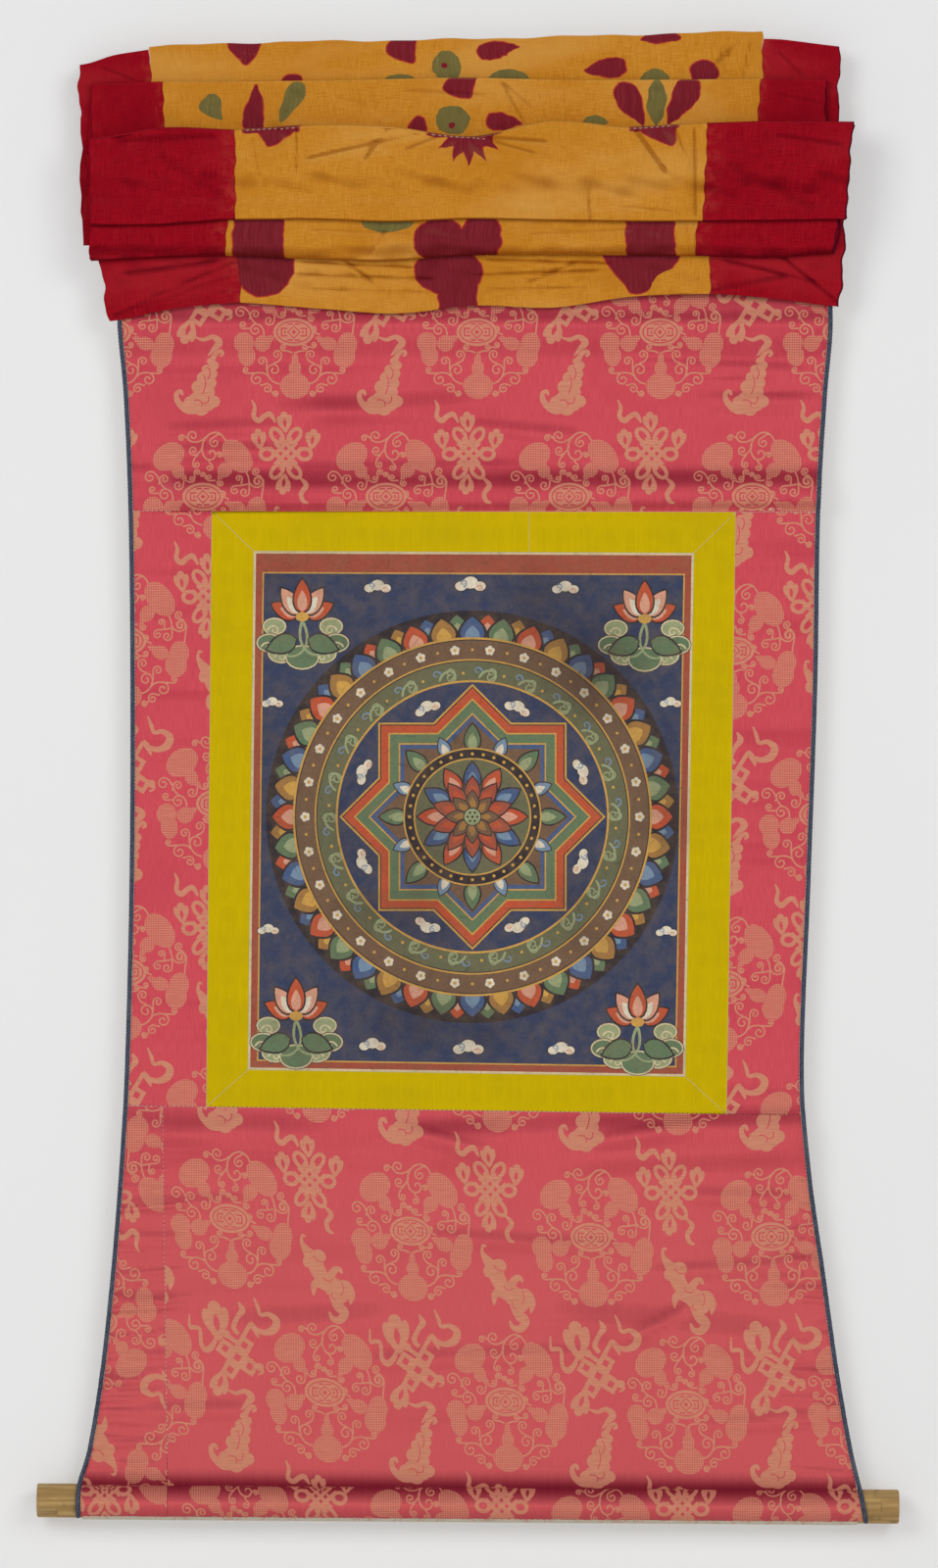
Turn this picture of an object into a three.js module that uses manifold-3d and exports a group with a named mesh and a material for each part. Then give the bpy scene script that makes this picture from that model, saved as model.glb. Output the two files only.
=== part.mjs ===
// A hanging scroll painting: a painted canvas in a mitred silk border, framed by damask panels
// with corded edges, a pleated silk veil at its head and a wooden dowel sewn in at its foot.
// Millimetres, +Z up. The painted face looks towards -Y. The origin is the middle of the top edge.
import * as THREE from "three";
import { mergeVertices } from "three/addons/utils/BufferGeometryUtils.js";
import Module from "manifold-3d";

const wasm = await Module();
wasm.setup();

// Thicknesses and gaps.
const SHEET = 1.5; // lined silk of the mount, and the primed canvas
const VEIL = 1.2; // the veil's thin silk
const GAP = 0.3; // between pieces that are sewn edge to edge
const CORD_RADIUS = 2; // twisted yarn that edges the mount

// The dowel, and the sleeve that the silk and its lining make round it.
const DOWEL = { radius: 16.5, length: 835, x: -2.4, z: -1415.3, slope: -0.0074, sides: 28, chamfer: 1.2 };
const SLEEVE_RADIUS = DOWEL.radius + 0.4 + SHEET / 2; // middle of the cloth round the dowel
const SLEEVE_START = 62; // degrees above the front where the silk first touches the dowel
const RAW_EDGE = -40; // degrees, where the silk's raw edge ends under the dowel's front
const LINING_RISE = 44; // how far above the dowel's axis the lining is sewn to the mount's back

// The mount's silhouette, at the outer side of the edge cords.
const OUTLINE = [
  { z: 0, left: -349.6, right: 347.5 },
  { z: -272, left: -342.0, right: 351.0 },
  { z: -340, left: -336.3, right: 345.8 },
  { z: -452, left: -331.6, right: 339.2 },
  { z: -623, left: -329.7, right: 336.3 },
  { z: -813, left: -330.6, right: 329.7 },
  { z: -1003, left: -335.4, right: 323.2 },
  { z: -1098, left: -341.0, right: 330.6 },
  { z: -1193, left: -348.7, right: 343.9 },
  { z: -1288, left: -359.1, right: 357.2 },
  { z: -1364, left: -371.5, right: 370.5 },
  { z: -1398, left: -381.0, right: 378.4 },
  { z: -1435, left: -382.0, right: 385.7 },
];

// Heights of the silk's head edge, evenly spaced from left to right. The veil hides it.
const HEAD_EDGE = [-23, -10, -4, 0, 0, 0, -12];

// Corners of the canvas and of the border's outer edge, as [x, z]. Both lean a little.
const CANVAS = { tl: [-210.0, -492.1], tr: [216.6, -494.0], bl: [-215.7, -994.7], br: [208.1, -1001.3] };
const BORDER = { tl: [-250.8, -453.2], tr: [257.1, -454.1], bl: [-256.0, -1030.8], br: [248.3, -1037.9] };
const BORDER_JOIN = 57; // x of the cross seam in the border's top strip
const GORE_SEAM = { top: -298.3, foot: -293.5 }; // x of the seam that adds a strip at the lower left

// Horizontal folds of the mount. rise is towards the viewer, above and below are the lengths of
// its two flanks, flat is half its crest, and it fades out beyond from and to. lean is z over x.
const FOLDS = [
  { z: -262, lean: 0.0, rise: 3.5, above: 26, below: 18, flat: 3, from: -400, to: 400 },
  { z: -352, lean: 0.06, rise: 1.6, above: 16, below: 14, flat: 2, from: -200, to: 30 },
  { z: -338, lean: -0.04, rise: 1.6, above: 16, below: 12, flat: 2, from: 190, to: 360 },
  { z: -438, lean: 0.004, rise: 7.5, above: 20, below: 10, flat: 6, from: -420, to: 420 },
  { z: -1062, lean: 0.03, rise: 4.5, above: 18, below: 40, flat: 4, from: -90, to: 420 },
  { z: -1068, lean: -0.05, rise: 2.2, above: 20, below: 34, flat: 3, from: -400, to: -120 },
  { z: -1232, lean: -0.1, rise: 2.0, above: 26, below: 18, flat: 3, from: 60, to: 330 },
  { z: -1236, lean: 0.05, rise: 1.8, above: 20, below: 22, flat: 3, from: -260, to: -60 },
];
const FOLD_FADE = 70; // length over which a fold dies out at its two ends

// The veil's pleated section, from the edge sewn at the head to its free edge. Each row is a turn of
// the cloth: its height across the left end, the centre and the right end, evenly spaced, the depth
// of the leg that follows it, and the x of the veil's two ends and two seams there.
const even = (height, count) => Array(count).fill(height);
const VEIL_TURNS = [
  { depth: 6, x: [-379, -310.7, 283, 358], left: [-20.9, -11.4, -5.7],
    centre: [-3.3, 0, 2.2, 4.2, 6.2, 8.3, 11.9], right: [4.7, 1.9, -3.8] },
  { depth: 9.5, x: [-376, -304, 282, 356], left: even(-196, 3), centre: even(-196, 7), right: even(-196, 3) },
  { depth: 13, x: [-366.7, -298.3, 280, 343.9], left: [-39.9, -39, -38],
    centre: [-38, -37.5, -36.1, -34.2, -36.1, -36.1, -35.2], right: [-35.2, -35.4, -36.1] },
  { depth: 16, x: [-363.9, -292.6, 275.5, 344.9], left: even(-143.5, 3), centre: even(-143.5, 7),
    right: even(-143.5, 3) },
  { depth: 35, x: [-366.7, -227, 229, 370.5], left: [-94, -83.6, -85.5],
    centre: [-85.5, -80.8, -82.7, -92.2, -77, -82.7, -78.9], right: [-78.9, -77, -77.9] },
  { depth: 31.5, x: [-366.7, -227, 224.2, 362], left: [-178.6, -177.7, -172.9],
    centre: [-172.9, -172.4, -174.8, -172, -173.4, -174.4, -174.4], right: [-174.4, -173.9, -172.9] },
  { depth: 28, x: [-368.6, -231.8, 220.4, 357.2], left: even(-108.3, 3), centre: even(-108.3, 7),
    right: even(-108.3, 3) },
  { depth: 24.5, x: [-367.7, -236.6, 217.6, 352.5], left: [-211.9, -209, -207.1],
    centre: [-207.1, -210, -211.9, -207.1, -206.2, -206.6, -207.1], right: [-207.1, -209, -205.2] },
  { depth: 21, x: [-370.5, -228, 231.8, 364.5], left: even(-138.7, 3), centre: even(-138.7, 7),
    right: even(-138.7, 3) },
  { depth: 21, x: [-349.6, -222.3, 231.8, 358], left: [-269.8, -257.5, -251.8],
    centre: [-251.8, -257.5, -262.2, -254.6, -256.5, -246.1, -243.2], right: [-243.2, -248, -255.6] },
];
const TURN_HEIGHT = 2.5; // a turn is at most this high, however wide it is
const SETTLE = { from: -172, to: -262, depth: 12 }; // the lowest pleats sink back to the mount
const PUFF = { leg: 4, depth: 4 }; // the front pleat stands out in its middle

const LEG_STEPS = 3;
const TURN_STEPS = 4;

const FINISH = {
  damask: new THREE.MeshStandardMaterial({ color: 0xd65a66, roughness: 0.45, metalness: 0.1 }),
  border: new THREE.MeshStandardMaterial({ color: 0xc9b70c, roughness: 0.55, metalness: 0 }),
  canvas: new THREE.MeshStandardMaterial({ color: 0x46506a, roughness: 0.85, metalness: 0 }),
  veilYellow: new THREE.MeshStandardMaterial({ color: 0xd89a35, roughness: 0.6, metalness: 0 }),
  veilRed: new THREE.MeshStandardMaterial({ color: 0xa3121f, roughness: 0.6, metalness: 0 }),
  cord: new THREE.MeshStandardMaterial({ color: 0x3d4660, roughness: 0.9, metalness: 0 }),
  lining: new THREE.MeshStandardMaterial({ color: 0xd8cfba, roughness: 0.9, metalness: 0 }),
  wood: new THREE.MeshStandardMaterial({ color: 0xa5813f, roughness: 0.6, metalness: 0 }),
};

const mix = (a, b, t) => a + (b - a) * t;
const clamp = (t) => Math.min(1, Math.max(0, t));
const smooth = (t) => clamp(t) ** 2 * (3 - 2 * clamp(t));
const radians = THREE.MathUtils.degToRad;

// A smooth curve through evenly spaced values, at t from 0 to 1.
function through(values, t) {
  const at = clamp(t) * (values.length - 1);
  const i = Math.min(Math.floor(at), values.length - 2);
  const near = (k) => values[Math.min(values.length - 1, Math.max(0, k))];
  const [a, b, c, d] = [near(i - 1), near(i), near(i + 1), near(i + 2)];
  const f = at - i;
  return b + 0.5 * f * (c - a + f * (2 * a - 5 * b + 4 * c - d + f * (3 * (b - c) + d - a)));
}

// The silhouette's x at height z, on the side "left" or "right": a smooth curve through OUTLINE.
function outline(side, z) {
  const last = OUTLINE.length - 2;
  const i = Math.min(last, Math.max(0, OUTLINE.findIndex((row) => row.z <= z) - 1));
  const slope = (k) => {
    const a = OUTLINE[Math.max(0, k - 1)];
    const b = OUTLINE[Math.min(last + 1, k + 1)];
    return (b[side] - a[side]) / (b.z - a.z);
  };
  const [p, q] = [OUTLINE[i], OUTLINE[i + 1]];
  const span = q.z - p.z;
  const t = clamp((z - p.z) / span);
  return (
    p[side] * (1 + 2 * t) * (1 - t) ** 2 + slope(i) * span * t * (1 - t) ** 2 +
    q[side] * t * t * (3 - 2 * t) + slope(i + 1) * span * t * t * (t - 1)
  );
}
const EDGE_ROOM = 2 * CORD_RADIUS + 2 * GAP; // the cord lies between the silhouette and the silk
const silkLeft = (z) => outline("left", z) + EDGE_ROOM;
const silkRight = (z) => outline("right", z) - EDGE_ROOM;

// How far the mount stands towards the viewer at x, z.
function depthAt(x, z) {
  let depth = 0;
  for (const fold of FOLDS) {
    const t = z - fold.z - fold.lean * x;
    const flank = t > 0 ? (t - fold.flat) / fold.above : (-t - fold.flat) / fold.below;
    const ends = smooth((x - fold.from) / FOLD_FADE) * smooth((fold.to - x) / FOLD_FADE);
    depth += fold.rise * (1 - smooth(flank)) * ends;
  }
  return depth;
}

// The line through two [x, z] points: its x at z, or its z at x.
const xOn = (a, b) => (z) => mix(a[0], b[0], (z - a[1]) / (b[1] - a[1]));
const zOn = (a, b) => (x) => mix(a[1], b[1], (x - a[0]) / (b[0] - a[0]));
const headSeam = zOn(BORDER.tl, BORDER.tr);
const footSeam = zOn(BORDER.bl, BORDER.br);
const goreSeam = xOn([GORE_SEAM.top, BORDER.bl[1]], [GORE_SEAM.foot, DOWEL.z]);
const dowelHeight = (x) => DOWEL.z + DOWEL.slope * (x - DOWEL.x);

// A closed sheet round the middle surface point(u, v), which gives [x, depth, z], at the stations us
// and vs. Its thickness stands half on either side, along the surface's normal.
function sheet(point, us, vs, thickness) {
  const at = (u, v) => {
    const [x, depth, z] = point(u, v);
    return new THREE.Vector3(x, -depth, z);
  };
  const STEP = 1e-3;
  const positions = [];
  for (const side of [0.5, -0.5]) {
    for (const v of vs) {
      for (const u of us) {
        const across = at(Math.min(1, u + STEP), v).sub(at(Math.max(0, u - STEP), v));
        const along = at(u, Math.min(1, v + STEP)).sub(at(u, Math.max(0, v - STEP)));
        const normal = across.cross(along).normalize();
        positions.push(...at(u, v).addScaledVector(normal, side * thickness).toArray());
      }
    }
  }
  const wide = us.length;
  const back = wide * vs.length;
  const faces = [];
  const quad = (a, b, c, d) => faces.push(a, b, c, a, c, d);
  for (let j = 0; j + 1 < vs.length; j++) {
    for (let i = 0; i + 1 < wide; i++) {
      const k = j * wide + i;
      quad(k, k + 1, k + wide + 1, k + wide);
      quad(back + k, back + k + wide, back + k + wide + 1, back + k + 1);
    }
  }
  const rim = [];
  for (let i = 0; i < wide; i++) rim.push(i);
  for (let j = 1; j < vs.length; j++) rim.push(j * wide + wide - 1);
  for (let i = wide - 2; i >= 0; i--) rim.push((vs.length - 1) * wide + i);
  for (let j = vs.length - 2; j > 0; j--) rim.push(j * wide);
  rim.forEach((a, i) => {
    const b = rim[(i + 1) % rim.length];
    quad(b, a, back + a, back + b);
  });
  const geometry = new THREE.BufferGeometry();
  geometry.setAttribute("position", new THREE.Float32BufferAttribute(positions, 3));
  geometry.setIndex(faces);
  return geometry;
}

const evenly = (count) => Array.from({ length: count + 1 }, (_, i) => i / count);

// Stations down a sheet from height top to foot: even ones, and finer ones on each fold's flanks.
function stations(top, foot, count) {
  const heights = evenly(count).map((t) => mix(top, foot, t));
  for (const fold of FOLDS) {
    const upper = [1, 0.65, 0.35, 0].map((t) => fold.z + fold.flat + t * fold.above);
    const lower = [0, 0.35, 0.65, 1].map((t) => fold.z - fold.flat - t * fold.below);
    heights.push(...upper, ...lower);
  }
  const CLOSEST = 2.5; // millimetres between stations
  const kept = [];
  for (const z of heights.filter((h) => h <= top && h >= foot).sort((a, b) => b - a)) {
    if (!kept.length || kept.at(-1) - z >= CLOSEST) kept.push(z);
  }
  if (kept.at(-1) - foot < CLOSEST) kept.pop();
  return [...kept, foot].map((z) => (z - top) / (foot - top));
}

const root = new THREE.Group();
function add(name, geometry, material) {
  const mesh = new THREE.Mesh(geometry, material);
  mesh.name = name;
  root.add(mesh);
  return mesh;
}

// A flat piece cut as a quadrilateral, its corners clockwise from the upper left, drawn in by half
// a gap on each side.
function quadPiece(name, corners, columns, rows, material) {
  const inset = corners.map((corner, i) => {
    const [before, after] = [corners[(i + 3) % 4], corners[(i + 1) % 4]];
    const unit = ([x, z]) => [x / Math.hypot(x, z), z / Math.hypot(x, z)];
    const a = unit([corner[0] - before[0], corner[1] - before[1]]);
    const b = unit([after[0] - corner[0], after[1] - corner[1]]);
    const turn = a[0] * b[1] - a[1] * b[0];
    const k = GAP / 2 / turn;
    return [corner[0] + k * (a[0] - b[0]), corner[1] + k * (a[1] - b[1])];
  });
  const [tl, tr, br, bl] = inset;
  const point = (u, v) => {
    const x = mix(mix(tl[0], tr[0], u), mix(bl[0], br[0], u), v);
    const z = mix(mix(tl[1], tr[1], u), mix(bl[1], br[1], u), v);
    return [x, depthAt(x, z), z];
  };
  add(name, sheet(point, evenly(columns), evenly(rows), SHEET), material);
}

function addCanvasAndBorder() {
  const topJoin = [BORDER_JOIN, headSeam(BORDER_JOIN)];
  const innerJoin = [BORDER_JOIN, zOn(CANVAS.tl, CANVAS.tr)(BORDER_JOIN)];
  quadPiece("painting", [CANVAS.tl, CANVAS.tr, CANVAS.br, CANVAS.bl], 6, 8, FINISH.canvas);
  quadPiece("border_top_left", [BORDER.tl, topJoin, innerJoin, CANVAS.tl], 6, 4, FINISH.border);
  quadPiece("border_top_right", [topJoin, BORDER.tr, CANVAS.tr, innerJoin], 5, 4, FINISH.border);
  quadPiece("border_left", [BORDER.tl, CANVAS.tl, CANVAS.bl, BORDER.bl], 2, 10, FINISH.border);
  quadPiece("border_right", [CANVAS.tr, BORDER.tr, BORDER.br, CANVAS.br], 2, 10, FINISH.border);
  quadPiece("border_foot", [CANVAS.bl, CANVAS.br, BORDER.br, BORDER.bl], 9, 3, FINISH.border);
}

// The x at share u between two side curves of z, on a row whose z depends a little on x.
function settle(rowHeight, left, right, u) {
  let x = mix(left(rowHeight(0)), right(rowHeight(0)), u);
  for (let pass = 0; pass < 4; pass++) x = mix(left(rowHeight(x)), right(rowHeight(x)), u);
  return x;
}

// A damask panel between two side curves of z and a top and foot curve of x.
function panel(name, left, right, top, foot, columns, rows) {
  const point = (u, v) => {
    const x = settle((x) => mix(top(x) - GAP / 2, foot(x) + GAP / 2, v), left, right, u);
    const z = mix(top(x) - GAP / 2, foot(x) + GAP / 2, v);
    return [x, depthAt(x, z), z];
  };
  const middle = settle(top, left, right, 0.5);
  const vs = stations(top(middle), foot(middle), rows);
  add(name, sheet(point, evenly(columns), vs, SHEET), FINISH.damask);
}

function addUpperPanels() {
  const borderLeft = xOn(BORDER.tl, BORDER.bl);
  const borderRight = xOn(BORDER.tr, BORDER.br);
  const headEdge = (x) => through(HEAD_EDGE, (x - silkLeft(0)) / (silkRight(0) - silkLeft(0)));
  panel("panel_head", silkLeft, silkRight, headEdge, headSeam, 12, 8);
  panel("panel_left", silkLeft, (z) => borderLeft(z) - GAP / 2, headSeam, footSeam, 2, 12);
  panel("panel_right", (z) => borderRight(z) + GAP / 2, silkRight, headSeam, footSeam, 2, 12);
}

// The silk's course down to the dowel and round its front, at x. s runs from 0 to 1 down the flat
// part, to 2 along the hollow above the dowel, and to 3 round the dowel to the raw edge.
function silkCourse(x, s) {
  const axis = dowelHeight(x);
  const start = radians(SLEEVE_START);
  const hollow = (SLEEVE_RADIUS * Math.cos(start)) / (1 - Math.cos(start));
  const leaves = axis + (SLEEVE_RADIUS + hollow) * Math.sin(start);
  const top = footSeam(x) - GAP / 2;
  if (s <= 1) {
    const z = mix(top, leaves, s);
    return [depthAt(x, z), z];
  }
  if (s <= 2) {
    const turn = start * (s - 1);
    return [hollow * (1 - Math.cos(turn)), leaves - hollow * Math.sin(turn)];
  }
  const angle = radians(mix(SLEEVE_START, RAW_EDGE, s - 2));
  return [SLEEVE_RADIUS * Math.cos(angle), axis + SLEEVE_RADIUS * Math.sin(angle)];
}
const COURSE_PARTS = 3;
const HOLLOW_ROWS = 4;
const ROLL_ROWS = 8;

function footPanel(name, left, right, columns) {
  const flat = stations(footSeam(0), dowelHeight(0) + 30, 8).map((v) => v / COURSE_PARTS);
  const hollow = evenly(HOLLOW_ROWS).slice(1).map((t) => (1 + t) / COURSE_PARTS);
  const roll = evenly(ROLL_ROWS).slice(1).map((t) => (2 + t) / COURSE_PARTS);
  const point = (u, v) => {
    const x = settle((x) => silkCourse(x, COURSE_PARTS * v)[1], left, right, u);
    const [depth, z] = silkCourse(x, COURSE_PARTS * v);
    return [x, depth, z];
  };
  add(name, sheet(point, evenly(columns), [...flat, ...hollow, ...roll], SHEET), FINISH.damask);
}

// The lining's course: down the mount's back, round the dowel's back and up to the raw edge.
function addFootLining() {
  const behind = -(SHEET + GAP);
  const start = radians(SLEEVE_START);
  const hollow = (SLEEVE_RADIUS * Math.cos(start) + behind) / (1 - Math.cos(start));
  const gapAngle = THREE.MathUtils.radToDeg(GAP / SLEEVE_RADIUS);
  const narrow = 2; // the lining stops short of the silk's sides
  const topHeight = DOWEL.z + LINING_RISE;
  const point = (u, v) => {
    const s = COURSE_PARTS * v;
    const x = mix(silkLeft(topHeight) + narrow, silkRight(topHeight) - narrow, u);
    const axis = dowelHeight(x);
    const leaves = axis + (SLEEVE_RADIUS + hollow) * Math.sin(start);
    if (s <= 1) return [x, behind, mix(axis + LINING_RISE, leaves, s)];
    if (s <= 2) {
      const turn = start * (s - 1);
      return [x, behind - hollow * (1 - Math.cos(turn)), leaves - hollow * Math.sin(turn)];
    }
    const angle = radians(mix(180 - SLEEVE_START, 360 + RAW_EDGE - gapAngle, s - 2));
    return [x, SLEEVE_RADIUS * Math.cos(angle), axis + SLEEVE_RADIUS * Math.sin(angle)];
  };
  const vs = [0, 0.5, 1, 1.3, 1.6, 2, ...evenly(14).slice(1).map((t) => 2 + t)].map((s) => s / COURSE_PARTS);
  add("foot_lining", sheet(point, evenly(6), vs, SHEET), FINISH.lining);
}

// A closed tube through points that run downwards, with a flat end at each of its two ends. Its
// section is set out from the x axis, so it stands square to the path.
function tube(points, radius, sides) {
  const positions = [];
  points.forEach((p, i) => {
    const before = points[Math.max(0, i - 1)];
    const after = points[Math.min(points.length - 1, i + 1)];
    const along = after.clone().sub(before).normalize();
    const out = new THREE.Vector3(1, 0, 0).addScaledVector(along, -along.x).normalize();
    const across = along.clone().cross(out);
    for (let k = 0; k < sides; k++) {
      const angle = (2 * Math.PI * k) / sides;
      const rim = p.clone().addScaledVector(out, radius * Math.cos(angle));
      positions.push(...rim.addScaledVector(across, radius * Math.sin(angle)).toArray());
    }
  });
  const faces = [];
  const last = (points.length - 1) * sides;
  for (let ring = 0; ring < last; ring += sides) {
    for (let k = 0; k < sides; k++) {
      const next = (k + 1) % sides;
      const [a, b, c, d] = [ring + k, ring + next, ring + sides + next, ring + sides + k];
      faces.push(a, b, c, a, c, d);
    }
  }
  for (let k = 1; k + 1 < sides; k++) {
    faces.push(0, k + 1, k, last, last + k, last + k + 1);
  }
  const geometry = new THREE.BufferGeometry();
  geometry.setAttribute("position", new THREE.Float32BufferAttribute(positions, 3));
  geometry.setIndex(faces);
  return geometry;
}

// A cord of twisted yarn along one side of the mount and round the dowel to the raw edge. It stands
// forward, so that its back is level with the silk's.
function edgeCord(name, side, inward) {
  const forward = CORD_RADIUS - SHEET / 2;
  const points = [];
  const place = (z, depth, tilt) => {
    const x = outline(side, z) + inward * CORD_RADIUS;
    points.push(new THREE.Vector3(x, -(depth + forward * Math.cos(tilt)), z + forward * Math.sin(tilt)));
  };
  const FLAT_STEPS = 40;
  const x = outline(side, DOWEL.z);
  const headEnd = HEAD_EDGE[side === "left" ? 0 : HEAD_EDGE.length - 1];
  for (let i = 0; i <= FLAT_STEPS; i++) {
    const z = mix(headEnd, silkCourse(x, 1)[1], i / FLAT_STEPS);
    place(z, depthAt(outline(side, z) + inward * EDGE_ROOM, z), 0);
  }
  const ROUND_STEPS = 14;
  for (let i = 1; i <= ROUND_STEPS; i++) {
    const s = 1 + (2 * i) / ROUND_STEPS;
    const [depth, z] = silkCourse(x, s);
    const tilt = radians(s <= 2 ? SLEEVE_START * (s - 1) : mix(SLEEVE_START, RAW_EDGE, s - 2));
    place(z, depth, tilt);
  }
  add(name, tube(points, CORD_RADIUS, 8), FINISH.cord);
}

// One cloth of the veil: its pleated section, carried across from one seam or end to the next.
function veilPiece(name, part, from, to, columns, drawIn) {
  const legs = VEIL_TURNS.length - 1;
  const perLeg = LEG_STEPS + TURN_STEPS;
  const total = legs * LEG_STEPS + (legs - 1) * TURN_STEPS;
  const turnAt = (k, u) => {
    const row = VEIL_TURNS[k];
    const [a, b] = [row.x[from] + drawIn[0], row.x[to] - drawIn[1]];
    return { x: mix(a, b, u), z: through(row[part], u) };
  };
  const settled = (depth, z) =>
    depth - SETTLE.depth * smooth((z - SETTLE.from) / (SETTLE.to - SETTLE.from));
  const point = (u, v) => {
    const step = v * total;
    const leg = Math.min(legs - 1, Math.floor(step / perLeg));
    const within = step - leg * perLeg;
    const [a, b] = [turnAt(leg, u), turnAt(leg + 1, u)];
    const down = leg % 2 === 0;
    const half = (k) => Math.abs(VEIL_TURNS[k].depth - VEIL_TURNS[k - 1].depth) / 2;
    const high = (k) => (k === 0 || k === legs ? 0 : Math.min(TURN_HEIGHT, half(k)));
    const towards = down ? 1 : -1; // a turn's height is taken off the leg's two ends
    if (within <= LEG_STEPS) {
      const t = within / LEG_STEPS;
      const z = mix(a.z - towards * high(leg), b.z + towards * high(leg + 1), t);
      const puff = leg === PUFF.leg ? PUFF.depth * Math.sin(Math.PI * t) ** 2 : 0;
      return [mix(a.x, b.x, t), settled(VEIL_TURNS[leg].depth + puff, z), z];
    }
    const turn = (Math.PI * (within - LEG_STEPS)) / TURN_STEPS;
    const [near, far] = [VEIL_TURNS[leg].depth, VEIL_TURNS[leg + 1].depth];
    const z = b.z + towards * high(leg + 1) * (1 - Math.sin(turn));
    return [b.x, settled(mix(near, far, (1 - Math.cos(turn)) / 2), z), z];
  };
  const material = part === "centre" ? FINISH.veilYellow : FINISH.veilRed;
  add(name, sheet(point, evenly(columns), evenly(total), VEIL), material);
}

function addVeil() {
  const seam = GAP / 2;
  veilPiece("veil_centre", "centre", 1, 2, 12, [seam, seam]);
  veilPiece("veil_end_left", "left", 0, 1, 4, [0, seam]);
  veilPiece("veil_end_right", "right", 2, 3, 4, [seam, 0]);
}

const solidOf = (geometry) => {
  const bare = new THREE.BufferGeometry();
  const flat = geometry.index ? geometry.toNonIndexed() : geometry;
  bare.setAttribute("position", flat.getAttribute("position").clone());
  const merged = mergeVertices(bare, 1e-4);
  return new wasm.Manifold(
    new wasm.Mesh({
      numProp: 3,
      vertProperties: merged.getAttribute("position").array,
      triVerts: new Uint32Array(merged.index.array),
    }),
  );
};

const geometryOf = (solid) => {
  const mesh = solid.getMesh();
  const geometry = new THREE.BufferGeometry();
  geometry.setAttribute("position", new THREE.BufferAttribute(mesh.vertProperties, 3));
  geometry.setIndex(new THREE.BufferAttribute(mesh.triVerts, 1));
  return geometry;
};

// Flats hewn on the dowel's ends: the side they are on, their angle round the dowel from the front
// upwards, their distance from its axis and their length along it.
const HEWN = [
  { end: 1, angle: 62, distance: 14.6, length: 24 },
  { end: 1, angle: 8, distance: 15.0, length: 18 },
  { end: 1, angle: -48, distance: 14.2, length: 27 },
  { end: -1, angle: -58, distance: 13.4, length: 20 },
  { end: -1, angle: 75, distance: 15.4, length: 12 },
];

function addDowel() {
  const { radius, length, chamfer, sides } = DOWEL;
  const half = length / 2;
  const BLOCK = 10; // thickness of the block that cuts a flat
  const profile = [
    [0, -half], [radius - chamfer, -half], [radius, chamfer - half],
    [radius, half - chamfer], [radius - chamfer, half], [0, half],
  ].map(([r, y]) => new THREE.Vector2(r, y));
  const rod = new THREE.LatheGeometry(profile, sides);
  rod.rotateZ(-Math.PI / 2);
  let solid = solidOf(rod);
  for (const { end, angle, distance, length: cut } of HEWN) {
    const block = new THREE.BoxGeometry(2 * cut, BLOCK, 4 * radius);
    block.translate(end * half, -distance - BLOCK / 2, 0);
    block.rotateX(radians(-angle));
    solid = solid.subtract(solidOf(block));
  }
  const dowel = add("dowel", geometryOf(solid), FINISH.wood);
  dowel.position.set(DOWEL.x, 0, DOWEL.z);
  dowel.rotation.y = -Math.atan(DOWEL.slope);
}

addCanvasAndBorder();
addUpperPanels();
footPanel("panel_foot", (z) => goreSeam(z) + GAP / 2, silkRight, 10);
footPanel("panel_foot_gore", silkLeft, (z) => goreSeam(z) - GAP / 2, 2);
addFootLining();
edgeCord("edge_cord_left", "left", 1);
edgeCord("edge_cord_right", "right", -1);
addVeil();
addDowel();

export default root;
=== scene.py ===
# %% [markdown]
# # A scroll painting in its silk mount
# A painted canvas sits in a yellow silk border, with pink damask sewn round it. Blue yarn edges the
# mount, a thin veil is pleated up at its head, and a wooden dowel lies in a sleeve at its foot.
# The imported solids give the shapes. Here every cloth is laid again as a fine, thin sheet.

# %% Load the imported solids
import bpy
import numpy as np
from mathutils.geometry import delaunay_2d_cdt
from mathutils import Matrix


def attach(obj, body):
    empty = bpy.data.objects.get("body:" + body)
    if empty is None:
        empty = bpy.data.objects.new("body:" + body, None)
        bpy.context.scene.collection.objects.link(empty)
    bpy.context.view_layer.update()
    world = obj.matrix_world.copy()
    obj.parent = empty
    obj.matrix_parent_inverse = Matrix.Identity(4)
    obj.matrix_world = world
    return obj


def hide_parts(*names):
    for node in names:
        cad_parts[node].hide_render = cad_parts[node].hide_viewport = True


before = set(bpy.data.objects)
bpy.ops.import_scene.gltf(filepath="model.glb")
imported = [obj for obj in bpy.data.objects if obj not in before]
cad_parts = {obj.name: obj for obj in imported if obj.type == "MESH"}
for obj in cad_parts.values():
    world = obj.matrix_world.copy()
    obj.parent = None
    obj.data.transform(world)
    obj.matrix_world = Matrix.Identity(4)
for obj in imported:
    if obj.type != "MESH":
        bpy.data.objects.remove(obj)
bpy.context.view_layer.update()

# %% [markdown]
# ## The mount as one surface
# All the sewn pieces lie edge to edge on one hanging surface, so one pair of functions places them:
# the silhouette, which narrows at the waist and flares at the foot, and the depth of the sideways
# folds. The numbers repeat the solids' own, in millimetres, with the painted face towards -Y.

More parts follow.
